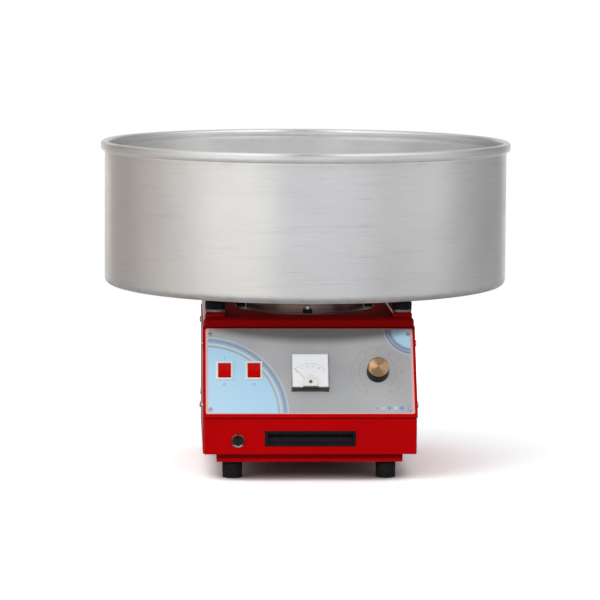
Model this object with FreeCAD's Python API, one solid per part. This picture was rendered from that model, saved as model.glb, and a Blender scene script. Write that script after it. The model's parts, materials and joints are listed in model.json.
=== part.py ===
import FreeCAD, Part
import math
import os

from FreeCAD import Placement, Rotation, Vector

os.makedirs("parts", exist_ok=True)

# Electric cotton candy machine: a spun aluminium bowl on a red sheet-steel casing.
# Millimetres. X runs to the right, Y to the back, Z up.
# The origin is on the floor, on the axis of the spinning head.

# ---- Fits
running_gap = 0.3            # between pieces that move past each other
fit_gap = 0.2                # between fixed pieces that are slipped together
bearing_gap = 0.05           # radial, between a shaft and its bore

# ---- Sheet metal
steel = 1.5                  # casing sheet
thin_steel = 1.2             # drawer and collar sheet
flange = 12.0                # width of the turned-in edges
edge_tolerance = 0.01        # for picking the edges at one level

# ---- Base and feet
foot_height = 22.0
foot_top_dia = 25.0
foot_floor_dia = 24.0
foot_inset_x = 19.5          # foot centre from the side of the base
foot_inset_y = 21.0          # foot centre from the front or back of the base
foot_recess_dia = 13.0
foot_recess_depth = 11.3
base_side_step = 17.0        # side of the base in from the side of the casing
base_front_y = -160.0
base_back_y = 112.0
base_height = 11.3
base_lip = 10.5

# ---- Casing
shell_width = 263.0
shell_back_y = 120.0
nose_y = -179.1              # foremost line of the control panel
nose_z = 81.1
panel_lean = 30.0            # degrees between the control panel and upright
nose_lip = 21.0              # depth of the lip that closes the panel from below
deck_top_z = 195.7
deck_band = 10.8             # height of the deck cover's edge
deck_front_y = -122.0
deck_side_step = 1.0         # the deck cover is narrower than the shell on each side
deck_round = 4.5
rail_width = 24.5
rail_height = 6.6
rail_end_step = 6.0          # rail end to the edge of the deck, front and back
rail_side_step = 2.0
rail_round = 3.0

# ---- Casing screws
screw_dia = 4.0
screw_hole_gap = 0.2         # radial
screw_head_dia = 7.8
screw_head = 1.9
screw_dome = 0.7             # rounding of a screw head, as a part of its height
screw_length = 6.0
cross_length = 4.4           # recess for the driver in a side screw's head
cross_width = 1.0
cross_depth = 1.1
nut_flats = 7.0
nut_height = 3.2
screw_past_nut = 1.8
side_screw_back = 12.3       # rear screws, in front of the back of the casing
side_screw_low_z = 53.3
side_screw_high_z = 166.3
panel_return = 12.0          # depth of the panel's side returns
panel_return_end = 8.0       # from each end of the panel to the end of its side returns
panel_top_flange = 21.6      # depth of the panel's turned-back top edge
panel_screw_depth = 7.5      # side screws behind the panel's face
panel_screw_low = 18.2       # side screws along the panel, from the nose
panel_screw_high = 100.2
base_screw_y = 96.0

# ---- Control panel. Places are x and the distance up the slope from the nose.
overlay_side_step = 3.5
overlay_low = 3.4
overlay_high = 116.6
overlay_thickness = 0.5
overlay_corner = 2.0
overlay_slot = 0.7           # width of the screws' slots
overlay_screw_inset = 5.5    # from the side of the overlay
overlay_screw_low = 9.2
overlay_screw_high = 108.7
overlay_screw_dia = 3.0
overlay_screw_head_dia = 5.4
overlay_screw_head = 1.5

# ---- Rocker switches
switch_insets = (26.5, 62.7) # from the left side of the casing
switch_s = 60.2
switch_width = 21.0
switch_height = 24.6
switch_bezel = 2.2
switch_round = 0.8
switch_rim = 2.6             # bezel width round the rocker
switch_body_wall = 1.4
switch_body_depth = 16.0
rocker_proud = 4.8           # corners of a level rocker above its pin
rocker_valley = 1.3          # depth of the valley between its two faces
rocker_round = 0.6
rocker_tilt = 9.0            # degrees each side of level
rocker_pin_dia = 2.6
rocker_pin_height = 0.2      # pin axis above the panel's face
rocker_pin_length = 0.9      # each end
rocker_skirt = 5.0           # rocker below its pin

# ---- Panel meter
meter_x = 0.0
meter_s = 56.25
meter_width = 47.4
meter_height = 48.0
meter_depth = 15.5
meter_wall = 1.6
meter_round = 1.2
meter_base_inset = 1.8
meter_base_thickness = 4.0
meter_can_dia = 38.0
meter_can_depth = 30.0
meter_pivot_s = -17.0        # needle pivot from the middle of the meter
meter_card_height = 9.6      # top of the scale card above the panel
meter_card = 0.8
meter_post_dia = 6.0
meter_pillar_dia = 4.0
meter_pillar_x = 18.0
meter_pillar_s = 16.2
meter_pin_dia = 1.6
meter_pin_past_needle = 1.5
needle_length = 29.0
needle_tail = 3.2
needle_thickness = 0.5
needle_width = 0.5
needle_hub_dia = 4.4
needle_rest = 44.0           # degrees left of upright
boss_radius = 9.4
boss_height = 1.2
boss_edge = 1.6              # from the meter's lower edge
zero_screw_dia = 4.2
zero_screw_proud = 0.7
zero_slot = 0.7

# ---- Heat knob
knob_inset = 48.0            # from the right side of the casing
knob_s = 58.2
knob_dia = 27.4
knob_height = 16.2
knob_lift = 0.6              # knob above the overlay
knob_taper = 0.6             # radius lost towards the top
knob_round = 0.6
knob_bore_depth = 13.0
knob_flutes = 36
knob_flute_dia = 1.4
knob_flute_inset = 0.35
knob_flute_height = 11.7
knob_cap_dia = 25.4
knob_cap_height = 2.4
knob_cap_bevel = 0.5
knob_cap_lip = 0.7
knob_cap_dish = 0.8
knob_recess_dia = 19.0
knob_recess_depth = 5.0
pot_dia = 24.0
pot_depth = 13.0
pot_bush_dia = 9.4
pot_bush_proud = 4.2
pot_shaft_dia = 6.0
pot_shaft_depth = 6.5        # shaft's reach into the potentiometer's can
pot_nut_flats = 12.0
pot_nut = 2.4

# ---- Drawer and its lock
drawer_face_y = -176.0
drawer_front_step = 1.5      # side of the front in from the side of the casing
drawer_front_depth = 10.0
drawer_front_gap = 0.4       # above and below the front
drawer_front_round = 1.5
drawer_box_step = 16.5       # side of the box in from the side of the casing
drawer_box_back_y = 38.0
drawer_box_wall_y = -148.0   # front wall of the box
drawer_box_low_z = 37.3
drawer_box_high_z = 69.5
drawer_rail = 3.5            # thickness of the hemmed side rail
drawer_rail_width = 13.0
drawer_tab = 10.0
drawer_tab_foot = 2.0        # tab above the box's floor
drawer_tab_head = 4.0        # tab below the box's top
drawer_floor_high = 1.0      # floor of the box starts behind the front's inner face
runner_leg = 12.0
shelf_z = 79.8
shelf_front_y = -157.5
shelf_hem = 8.0              # front edge turned down
shelf_flange = 13.5
shelf_flange_front_y = -140.0
pull_width = 112.0
pull_height = 19.2
pull_z = 53.4
pull_lip = 2.2
pull_proud = 1.0
pull_round = 0.6
pull_depth = 13.0
pull_wall = 1.4
lock_inset = 42.9            # from the left side of the casing
lock_z = 50.8
lock_flange_dia = 18.0
lock_flange = 2.0
lock_round = 1.7
lock_body_dia = 15.2
lock_body_length = 21.0
lock_bore_dia = 12.0
lock_nut_flats = 18.0
lock_nut = 2.2
plug_recess = 5.0
key_slot_width = 1.6
key_slot_height = 8.0
key_slot_depth = 4.0
cam_length = 24.2
cam_width = 11.0
cam_thickness = 2.0
cam_hub_dia = 14.0

# ---- Drive
stud_dia = 6.0
stud_proud = 10.0            # motor stud above the deck
stud_nut_flats = 10.0
stud_nut = 5.2
stud_low_nut = 4.2
deck_hole_dia = 60.0
spacer_dia = 16.0
spacer_height = 11.5
motor_plate_step = 4.0       # the motor plate is wider than the collar's foot on each side
motor_plate = 3.0
motor_dia = 88.0
motor_height = 78.0
motor_round = 6.0
motor_boss_dia = 30.0
motor_boss = 6.0
motor_bore_depth = 54.0
shaft_dia = 10.0
collar_dia = 150.0
collar_height = 43.6
collar_foot = 13.0           # width of the foot; the studs stand on its middle
collar_hole_dia = 22.0
ring_hub_dia = 34.0
ring_dia = 40.0
ring_height = 8.0
ring_low_z = 204.3
ring_pitch = 13.0
ring_hub_margin = 3.0
brush_side = 6.0
brush_length = 18.0
holder_x = -34.0             # nearer face of the brush holder
holder_width = 20.0
holder_depth = 14.0

# ---- Control electronics on the shelf
board_inset = 53.5           # from the right side of the casing
board_y = -40.0
board_width = 70.0
board_depth = 90.0
board_thickness = 1.6
board_post = 8.0
board_post_dia = 6.0
board_post_inset = 6.0
capacitor_dia = 14.0
capacitor_height = 16.0
choke_dia = 18.0
choke_height = 9.0
part_gap = 3.0               # between the components on the board
sink_width = 34.0
sink_depth = 60.0
sink_base = 4.0
sink_fin = 16.0
sink_fins = 7
sink_fin_thickness = 1.6
terminal_inset = 47.5        # from the left side of the casing
terminal_y = 66.0
terminal_width = 50.0
terminal_depth = 22.0
terminal_height = 16.0
terminal_poles = 5
terminal_wire_dia = 3.6
terminal_wire_height = 7.2
gland_inset = 47.5           # from the left side of the casing
gland_z = 95.3
gland_bore_dia = 8.4
gland_thread_dia = 16.0
gland_flats = 20.0
gland_collar = 5.0
gland_cap_dia = 17.5
gland_cap = 9.0
gland_round = 3.0
gland_inside = 10.0
gland_nut = 4.0
louvre_rows = 6
louvre_pitch = 11.0
louvre_width = 90.0
louvre_height = 3.2
louvre_low_z = 103.3

# ---- Bowl and its mounts
mount_dia = 24.5
mount_height = 22.0
mount_waist = 1.0
mount_waist_length = 3.0
mount_waist_slope = 1.5
mount_washer = 3.0
mount_end_inset = 10.0       # mount centre from the rail's end, beyond its own radius
mount_stud_dia = 6.0
mount_stud_proud = 7.0       # above the mount
mount_stud_round = 1.5
mount_head_dia = 11.0
mount_head = 4.0
bowl_sheet = 1.2
bowl_height = 180.7
bowl_corner = 8.0
bowl_hole_dia = 185.0
bowl_stud_hole_dia = 9.0
bowl_rim_radius = 260.0      # outside of the rolled rim
bowl_rim_step = 5.0          # the rim stands out from the wall
bead_radius = 4.5            # half the thickness of the rolled rim
bead_flat = 3.6              # upright part of the rolled rim, between its two rounds
bead_wire_dia = 6.4

# ---- Spinning head
head_gap = 4.0               # above the collar
head_radius = 79.0
head_base = 3.0
head_base_rim = 5.0
head_hub_dia = 28.0
head_hub_low = 2.5
head_hub_low_dia = 16.8
head_hub_high = 12.0
carrier_inner = 57.0
carrier_outer = 68.0
carrier_height = 4.0
element_inner = 59.0
element_outer = 65.0
element_folds = 48
element_ribbon = 0.8
element_height = 20.0
floss_ring_radius = 75.2
floss_ring_wall = 1.2
floss_ring_height = 30.0
floss_slots = 36
floss_slot_width = 2.2
floss_slot_height = 22.0
cover_rise = 8.0
cover_wall = 1.5
feed_radius = 32.0
feed_height = 20.0
head_screws = 3
head_screw_circle = 71.0
head_screw_dia = 4.0
head_screw_head_dia = 8.0
head_screw_head = 2.6
head_screw_lift = 0.8        # screw head above the middle of the slope under it
spindle_flats = 17.0
spindle_nut = 8.0
shaft_above_nut = 3.0

# ---- Levels and places that follow
half_shell = shell_width / 2
half_base = half_shell - base_side_step
shell_inner = half_shell - steel
plate_half = shell_inner - fit_gap
base_top_z = foot_height + base_height
shell_top_z = deck_top_z - deck_band
overlay_half = half_shell - overlay_side_step
overlay_screw_x = overlay_half - overlay_screw_inset
switch_x = [inset - half_shell for inset in switch_insets]
knob_x = half_shell - knob_inset
lock_x = lock_inset - half_shell
board_x = half_shell - board_inset
terminal_x = terminal_inset - half_shell
gland_x = gland_inset - half_shell
bowl_radius = bowl_rim_radius - bowl_rim_step
lean = math.radians(panel_lean)
panel_length = (shell_top_z - nose_z) / math.cos(lean)
panel_top_y = nose_y + panel_length * math.sin(lean)
lip_back_y = nose_y + nose_lip
lip_low_z = nose_z - steel
drawer_back_of_front_y = drawer_face_y + drawer_front_depth
cheek_front_y = drawer_back_of_front_y + running_gap
drawer_front_low_z = base_top_z + drawer_front_gap
drawer_front_high_z = lip_low_z - drawer_front_gap
inside_back_y = shell_back_y - 2 * flange - fit_gap
foot_x = half_base - foot_inset_x
foot_front_y = base_front_y + foot_inset_y
foot_back_y = base_back_y - foot_inset_y
deck_half = half_shell - deck_side_step
deck_back_y = shell_back_y
rail_outer_x = deck_half - rail_side_step
rail_mid_x = rail_outer_x - rail_width / 2
rail_front_y = deck_front_y + rail_end_step
rail_back_y = deck_back_y - rail_end_step
rail_top_z = deck_top_z + rail_height
mount_low_z = rail_top_z + mount_washer
mount_top_z = mount_low_z + mount_height
mount_front_y = rail_front_y + mount_end_inset
mount_back_y = rail_back_y - mount_end_inset
bowl_low_z = mount_top_z + running_gap
bowl_top_z = bowl_low_z + bowl_height
collar_top_z = deck_top_z + collar_height
head_low_z = collar_top_z + head_gap
head_floor_z = head_low_z + head_base
floss_top_z = head_floor_z + floss_ring_height
collar_foot_radius = collar_dia / 2 + collar_foot
stud_circle_radius = collar_dia / 2 + collar_foot / 2
motor_plate_radius = collar_foot_radius + motor_plate_step
motor_plate_top_z = deck_top_z - steel - spacer_height
motor_plate_low_z = motor_plate_top_z - motor_plate
motor_low_z = motor_plate_low_z - motor_height
shaft_low_z = motor_plate_low_z - motor_bore_depth + running_gap
hub_top_z = head_low_z + head_hub_high
shaft_top_z = hub_top_z + spindle_nut + shaft_above_nut
screw_radius = screw_dia / 2
screw_hole = screw_radius + screw_hole_gap
panel_frame = Placement(Vector(0, nose_y, nose_z), Rotation(Vector(1, 0, 0), 90 - panel_lean))


# ---- Shared shapes

def block(x0, x1, y0, y1, z0, z1):
    return Part.makeBox(x1 - x0, y1 - y0, z1 - z0, Vector(x0, y0, z0))


def rod(radius, length, start, direction=(0, 0, 1)):
    return Part.makeCylinder(radius, length, Vector(*start), Vector(*direction))


def hexagon(flats, length, start, direction=(0, 0, 1)):
    """A hexagonal prism from start along direction, measured across its flats."""
    corner = flats / math.sqrt(3)
    points = []
    for i in range(7):
        angle = math.radians(60 * i)
        points.append(Vector(corner * math.cos(angle), corner * math.sin(angle), 0))
    prism = Part.Face(Part.makePolygon(points)).extrude(Vector(0, 0, length))
    prism.Placement = Placement(Vector(*start), Rotation(Vector(0, 0, 1), Vector(*direction)))
    return prism


def tube(outer, inner, length, start, direction=(0, 0, 1)):
    return rod(outer, length, start, direction).cut(rod(inner, length, start, direction))


def turned(outline):
    """Turns an outline of (radius, z) points about the Z axis."""
    points = [Vector(r, 0, z) for r, z in outline]
    return Part.Face(Part.makePolygon(points + points[:1])).revolve(Vector(0, 0, 0), Vector(0, 0, 1), 360)


def side_profile(outline, x0, x1):
    """Extrudes an outline of (y, z) points from x0 to x1."""
    points = [Vector(x0, y, z) for y, z in outline]
    return Part.Face(Part.makePolygon(points + points[:1])).extrude(Vector(x1 - x0, 0, 0))


def joined(pieces):
    return pieces[0].fuse(pieces[1:]).removeSplitter()


def mirrored(shape):
    return shape.mirror(Vector(0, 0, 0), Vector(1, 0, 0))


def on_panel(shape):
    """Carries a shape from (x, up the slope, off the face) to its place on the control panel."""
    placed = shape.copy()
    placed.Placement = panel_frame.multiply(shape.Placement)
    return placed


def panel_point(x, s, h):
    return panel_frame.multVec(Vector(x, s, h))


def rounded_cover(x0, x1, y0, y1, z0, z1, radius, wall):
    """A sheet cover open below, with its upright and top edges rolled to one radius."""
    def rounded(inset):
        body = block(x0 + inset, x1 - inset, y0 + inset, y1 - inset, z0, z1 - inset)
        edges = []
        for edge in body.Edges:
            ends = [vertex.Z for vertex in edge.Vertexes]
            if max(ends) > z1 - inset - edge_tolerance:
                edges.append(edge)
        return body.makeFillet(radius - inset, edges)

    return rounded(0).cut(rounded(wall))


def rounded_end(shape, axis, level, radius):
    """Rounds the edges of a shape that lie at its end on one axis, at +level or -level."""
    edges = []
    for edge in shape.Edges:
        middle = abs(getattr(edge.CenterOfMass, axis))
        if middle > abs(level) - edge_tolerance:
            edges.append(edge)
    return shape.makeFillet(radius, edges)


def at_each(places, make):
    """One node of like solids: make(x, y) at each place."""
    return Part.makeCompound([make(x, y) for x, y in places])


def on_circle(radius, count, first=0):
    places = []
    for i in range(count):
        angle = math.radians(first + 360 * i / count)
        places.append((radius * math.cos(angle), radius * math.sin(angle)))
    return places


foot_places = [(x, y) for x in (-foot_x, foot_x) for y in (foot_front_y, foot_back_y)]
mount_places = [(x, y) for x in (-rail_mid_x, rail_mid_x) for y in (mount_front_y, mount_back_y)]
stud_places = on_circle(stud_circle_radius, 4, first=-90)


# ---- Base

def base_tray():
    outer = block(-half_base, half_base, base_front_y, base_back_y, foot_height, base_top_z)
    inner = block(-half_base + steel, half_base - steel, base_front_y + steel, base_back_y - steel,
                  foot_height + steel, base_top_z - steel)
    mouth = block(-half_base + base_lip, half_base - base_lip, base_front_y + base_lip,
                  base_back_y - base_lip, base_top_z - steel, base_top_z)
    tray = outer.cut([inner, mouth])
    for x, y in foot_places:
        tray = tray.cut(rod(screw_hole, steel, (x, y, foot_height)))
    for x, y in base_screw_places():
        tray = tray.cut(rod(screw_radius, steel, (x, y, base_top_z - steel)))
    return tray


def base_screw_places():
    x = half_base - base_lip / 2
    return [(sign * x, y) for sign in (-1, 1) for y in (-base_screw_y, 0, base_screw_y)]


def rubber_foot(x, y):
    foot = Part.makeCone(foot_floor_dia / 2, foot_top_dia / 2, foot_height, Vector(x, y, 0))
    recess = rod(foot_recess_dia / 2, foot_recess_depth, (x, y, 0))
    return foot.cut([recess, rod(screw_hole, foot_height, (x, y, 0))])


def foot_screw(x, y):
    head = rod(screw_head_dia / 2, screw_head, (x, y, foot_recess_depth - screw_head))
    shank_top_z = foot_height + steel + nut_height + screw_past_nut
    shank = rod(screw_radius, shank_top_z - foot_recess_depth, (x, y, foot_recess_depth))
    return head.fuse(shank)


def foot_nut(x, y):
    low_z = foot_height + steel
    return hexagon(nut_flats, nut_height, (x, y, low_z)).cut(rod(screw_radius, nut_height, (x, y, low_z)))


def base_screw(x, y):
    low_z = base_top_z - steel
    seat_z = base_top_z + steel
    shank = rod(screw_radius, seat_z - low_z, (x, y, low_z))
    head_height = drawer_box_low_z - seat_z - 2 * running_gap
    return shank.fuse(rod(screw_head_dia / 2, head_height, (x, y, seat_z)))


# ---- Shell

def side_screw_places():
    """(y, z) of the screws in each side of the shell."""
    low = panel_point(0, panel_screw_low, -panel_screw_depth)
    high = panel_point(0, panel_screw_high, -panel_screw_depth)
    back_y = shell_back_y - side_screw_back
    return [
        (low.y, low.z),
        (high.y, high.z),
        (0, shelf_z + shelf_flange / 2),
        (back_y, side_screw_low_z),
        (back_y, side_screw_high_z),
    ]


def side_screw_holes(outer_x):
    """Holes that the side screws are threaded in, through the returns that end at outer_x."""
    cuts = []
    for y, z in side_screw_places():
        for side in (-1, 1):
            cuts.append(rod(screw_radius, 2 * steel, (side * (outer_x - 2 * steel), y, z), (side, 0, 0)))
    return cuts


def side_panel():
    """Right side: a plate with the top and bottom edges turned in."""
    outline = [
        (cheek_front_y, base_top_z),
        (shell_back_y, base_top_z),
        (shell_back_y, shell_top_z),
        (panel_top_y, shell_top_z),
        (nose_y, nose_z),
        (nose_y, lip_low_z),
        (cheek_front_y, lip_low_z),
    ]
    plate = side_profile(outline, shell_inner, half_shell)
    flange_back_y = shell_back_y - steel - fit_gap
    top = block(shell_inner - flange, shell_inner, panel_top_y + 2 * flange, flange_back_y,
                shell_top_z - steel, shell_top_z)
    bottom = block(half_base - base_lip, shell_inner, cheek_front_y, flange_back_y,
                   base_top_z, base_top_z + steel)
    panel = joined([plate, top, bottom])
    for y, z in side_screw_places():
        panel = panel.cut(rod(screw_hole, steel, (shell_inner, y, z), (1, 0, 0)))
    for x, y in base_screw_places():
        panel = panel.cut(rod(screw_hole, steel, (x, y, base_top_z)))
    return panel


def side_screw(y, z):
    """Screw in the right side, with a domed head and a recess for a cross-point driver."""
    shank = rod(screw_radius, screw_length, (half_shell - screw_length, y, z), (1, 0, 0))
    head = rod(screw_head_dia / 2, screw_head, (half_shell, y, z), (1, 0, 0))
    top = half_shell + screw_head
    screw = shank.fuse(rounded_end(head, "x", top, screw_head * screw_dome))
    long = cross_length / 2
    short = cross_width / 2
    upright = block(top - cross_depth, top, y - short, y + short, z - long, z + long)
    level = block(top - cross_depth, top, y - long, y + long, z - short, z + short)
    return screw.cut([upright, level])


def side_screws():
    pieces = []
    for y, z in side_screw_places():
        screw = side_screw(y, z)
        pieces.extend([screw, mirrored(screw)])
    return Part.makeCompound(pieces)


def rear_panel():
    plate = block(-plate_half, plate_half, shell_back_y - steel, shell_back_y,
                  base_top_z, shell_top_z - fit_gap)
    side_return = block(plate_half - steel, plate_half, shell_back_y - 2 * flange, shell_back_y - steel,
                        base_top_z + steel + fit_gap, shell_top_z - steel - fit_gap)
    panel = joined([plate, side_return, mirrored(side_return)])
    cuts = side_screw_holes(plate_half)
    for row in range(louvre_rows):
        z = louvre_low_z + row * louvre_pitch
        cuts.append(block(-louvre_width / 2, louvre_width / 2, shell_back_y - steel, shell_back_y,
                          z, z + louvre_height))
    gland_start = (gland_x, shell_back_y - steel, gland_z)
    cuts.append(rod(gland_thread_dia / 2 + fit_gap, steel, gland_start, (0, 1, 0)))
    return panel.cut(cuts)


def deck_cover():
    cover = rounded_cover(-deck_half, deck_half, deck_front_y, deck_back_y, shell_top_z, deck_top_z,
                          deck_round, steel)
    low_z = deck_top_z - steel
    cuts = [rod(deck_hole_dia / 2, steel, (0, 0, low_z))]
    for x, y in stud_places:
        cuts.append(rod(stud_dia / 2 + screw_hole_gap, steel, (x, y, low_z)))
    return cover.cut(cuts)


def deck_rail():
    """Right rail: a long raised pad that carries two bowl mounts."""
    rail = rounded_cover(rail_outer_x - rail_width, rail_outer_x, rail_front_y, rail_back_y,
                         deck_top_z, rail_top_z, rail_round, steel)
    for x, y in mount_places:
        rail = rail.cut(rod(mount_stud_dia / 2 + screw_hole_gap, rail_height, (x, y, deck_top_z)))
    return rail


# ---- Control panel

def panel_block(x0, x1, s0, s1, h0, h1):
    return on_panel(block(x0, x1, s0, s1, h0, h1))


def panel_cutouts(depth_from, depth_to, gap):
    """Openings for the switches, the meter and the knob's bushing."""
    cuts = []
    half_width = switch_width / 2 - switch_rim + switch_body_wall + gap
    half_height = switch_height / 2 - switch_rim + switch_body_wall + gap
    for x in switch_x:
        cuts.append(panel_block(x - half_width, x + half_width, switch_s - half_height,
                                switch_s + half_height, depth_from, depth_to))
    depth = depth_to - depth_from
    cuts.append(on_panel(rod(meter_can_dia / 2 + gap, depth, (meter_x, meter_s, depth_from))))
    cuts.append(on_panel(rod(pot_bush_dia / 2 + gap, depth, (knob_x, knob_s, depth_from))))
    return cuts


def overlay_screw_places():
    heights = (overlay_screw_low, overlay_screw_high)
    return [(x, s) for x in (-overlay_screw_x, overlay_screw_x) for s in heights]


def control_fascia():
    plate = panel_block(-plate_half, plate_half, 0, panel_length, -steel, 0)
    lip = block(-plate_half, plate_half, nose_y, lip_back_y, lip_low_z, nose_z)
    top = block(-plate_half + flange, plate_half - flange, panel_top_y, panel_top_y + panel_top_flange,
                shell_top_z - steel, shell_top_z)
    side_return = panel_block(plate_half - steel, plate_half, panel_return_end,
                              panel_length - panel_return_end, -panel_return, -steel)
    trim = block(-shell_width, shell_width, nose_y - flange, panel_top_y + 2 * flange,
                 shell_top_z, shell_top_z + 2 * flange)
    front_trim = block(-shell_width, shell_width, nose_y - flange, nose_y, lip_low_z - flange, nose_z)
    fascia = joined([plate, lip, top, side_return, mirrored(side_return)]).cut([trim, front_trim])
    cuts = panel_cutouts(-steel, 0, fit_gap) + side_screw_holes(plate_half)
    for x, s in overlay_screw_places():
        cuts.append(on_panel(rod(overlay_screw_dia / 2, steel, (x, s, -steel))))
    return fascia.cut(cuts)


def panel_overlay():
    half = overlay_half
    sheet = block(-half, half, overlay_low, overlay_high, 0, overlay_thickness)
    corners = [edge for edge in sheet.Edges if len({round(v.Z, 3) for v in edge.Vertexes}) == 2]
    plate = on_panel(sheet.makeFillet(overlay_corner, corners))
    cuts = panel_cutouts(0, overlay_thickness, fit_gap)
    for x, s in overlay_screw_places():
        cuts.append(on_panel(rod(overlay_screw_dia / 2 + screw_hole_gap, overlay_thickness, (x, s, 0))))
    return plate.cut(cuts)


def overlay_screws():
    pieces = []
    top = overlay_thickness + overlay_screw_head
    half = overlay_screw_head_dia / 2
    for x, s in overlay_screw_places():
        shank = rod(overlay_screw_dia / 2, overlay_thickness + 2 * steel, (x, s, -2 * steel))
        head = rod(half, overlay_screw_head, (x, s, overlay_thickness))
        dome = rounded_end(head, "z", top, overlay_screw_head * screw_dome)
        slot = block(x - half, x + half, s - overlay_slot / 2, s + overlay_slot / 2,
                     top - overlay_slot, top)
        pieces.append(on_panel(shank.fuse(dome).cut(slot)))
    return Part.makeCompound(pieces)


# ---- Rocker switches

def switch_frame(x):
    """Moulded frame: a bezel on the overlay and a box behind it, with bores for the rocker's pins."""
    half_width = switch_width / 2
    half_height = switch_height / 2
    low = overlay_thickness
    bezel = block(x - half_width, x + half_width, switch_s - half_height, switch_s + half_height,
                  low, low + switch_bezel)
    bezel = rounded_end(bezel, "z", low + switch_bezel, switch_round)
    inner_width = half_width - switch_rim
    inner_height = half_height - switch_rim
    box_width = inner_width + switch_body_wall
    box_height = inner_height + switch_body_wall
    box = block(x - box_width, x + box_width, switch_s - box_height, switch_s + box_height,
                -switch_body_depth, low)
    hollow = block(x - inner_width, x + inner_width, switch_s - inner_height, switch_s + inner_height,
                   -switch_body_depth + switch_body_wall, low + switch_bezel)
    pin_reach = inner_width + rocker_pin_length
    bore_start = (x - pin_reach, switch_s, rocker_pin_height)
    bore = rod(rocker_pin_dia / 2 + bearing_gap, 2 * pin_reach, bore_start, (1, 0, 0))
    return on_panel(joined([bezel, box]).cut([hollow, bore]))


def rocker(x):
    """Rocker with two faces meeting in a shallow valley, resting with its lower end pressed in.
    Its ends are arcs about the pin, so that they clear the frame at every angle."""
    half_width = switch_width / 2 - switch_rim - running_gap
    reach = switch_height / 2 - switch_rim - running_gap
    top = math.sqrt(reach ** 2 - rocker_proud ** 2)
    foot = math.sqrt(reach ** 2 - rocker_skirt ** 2)

    def corner(s, h):
        return Vector(-half_width, s, h)

    edges = [
        Part.makeLine(corner(-top, rocker_proud), corner(0, rocker_proud - rocker_valley)),
        Part.makeLine(corner(0, rocker_proud - rocker_valley), corner(top, rocker_proud)),
        Part.Arc(corner(top, rocker_proud), corner(reach, 0), corner(foot, -rocker_skirt)).toShape(),
        Part.makeLine(corner(foot, -rocker_skirt), corner(-foot, -rocker_skirt)),
        Part.Arc(corner(-foot, -rocker_skirt), corner(-reach, 0), corner(-top, rocker_proud)).toShape(),
    ]
    body = Part.Face(Part.Wire(edges)).extrude(Vector(2 * half_width, 0, 0))
    ends = [edge for edge in body.Edges if edge.CenterOfMass.z > rocker_proud - edge_tolerance]
    body = body.makeFillet(rocker_round, ends)
    pin_half = half_width + rocker_pin_length
    pin = rod(rocker_pin_dia / 2, 2 * pin_half, (-pin_half, 0, 0), (1, 0, 0))
    piece = joined([body, pin])
    piece.rotate(Vector(0, 0, 0), Vector(1, 0, 0), rocker_tilt)
    piece.translate(Vector(x, switch_s, rocker_pin_height))
    return on_panel(piece)


# ---- Panel meter

def meter_base():
    """White moulding: a square foot in front of the panel and the movement's can behind it."""
    half_width = meter_width / 2 - meter_base_inset
    half_height = meter_height / 2 - meter_base_inset
    low = overlay_thickness
    foot = block(-half_width, half_width, -half_height, half_height, low, low + meter_base_thickness)
    can = rod(meter_can_dia / 2, meter_can_depth + low, (0, 0, -meter_can_depth))
    foot_top = low + meter_base_thickness
    card_low = meter_card_height - meter_card
    post = rod(meter_post_dia / 2, card_low - foot_top, (0, meter_pivot_s, foot_top))
    pillars = []
    for x in (-meter_pillar_x, meter_pillar_x):
        for s in (-meter_pillar_s, meter_pillar_s):
            pillars.append(rod(meter_pillar_dia / 2, card_low - foot_top, (x, s, foot_top)))
    pin_top = meter_card_height + running_gap + 2 * needle_thickness + meter_pin_past_needle
    pin = rod(meter_pin_dia / 2, pin_top - card_low, (0, meter_pivot_s, card_low))
    base = joined([foot, can, post, pin] + pillars)
    base.translate(Vector(meter_x, meter_s, 0))
    return on_panel(base)


def meter_scale():
    half_width = meter_width / 2 - meter_wall - fit_gap
    half_height = meter_height / 2 - meter_wall - fit_gap
    low = meter_card_height - meter_card
    card = block(-half_width, half_width, -half_height, half_height, low, meter_card_height)
    card = card.cut(rod(meter_pin_dia / 2 + fit_gap, meter_card, (0, meter_pivot_s, low)))
    card.translate(Vector(meter_x, meter_s, 0))
    return on_panel(card)


def meter_cover():
    """Clear moulded cover, open at the back, with a bore for the zero screw."""
    half_width = meter_width / 2
    half_height = meter_height / 2
    low = overlay_thickness
    top = low + meter_depth
    outer = block(-half_width, half_width, -half_height, half_height, low, top)
    edges = [edge for edge in outer.Edges if edge.CenterOfMass.z > low + edge_tolerance]
    outer = outer.makeFillet(meter_round, edges)
    inner = block(-half_width + meter_wall, half_width - meter_wall, -half_height + meter_wall,
                  half_height - meter_wall, low, top - meter_wall)
    bore = rod(zero_screw_dia / 2 + bearing_gap, meter_wall, (0, meter_pivot_s, top - meter_wall))
    cover = outer.cut([inner, bore])
    cover.translate(Vector(meter_x, meter_s, 0))
    return on_panel(cover)


def meter_boss():
    """Grey half-round plate over the needle's pivot, glued to the cover."""
    low = overlay_thickness + meter_depth
    edge_s = -meter_height / 2 + boss_edge
    disc = rod(boss_radius, boss_height, (0, meter_pivot_s, low))
    foot = block(-boss_radius, boss_radius, edge_s, meter_pivot_s, low, low + boss_height)
    below = block(-meter_width, meter_width, edge_s - 2 * boss_radius, edge_s, low, low + boss_height)
    bore = rod(zero_screw_dia / 2 + bearing_gap, boss_height, (0, meter_pivot_s, low))
    boss = joined([disc, foot]).cut([below, bore])
    boss.translate(Vector(meter_x, meter_s, 0))
    return on_panel(boss)


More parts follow.
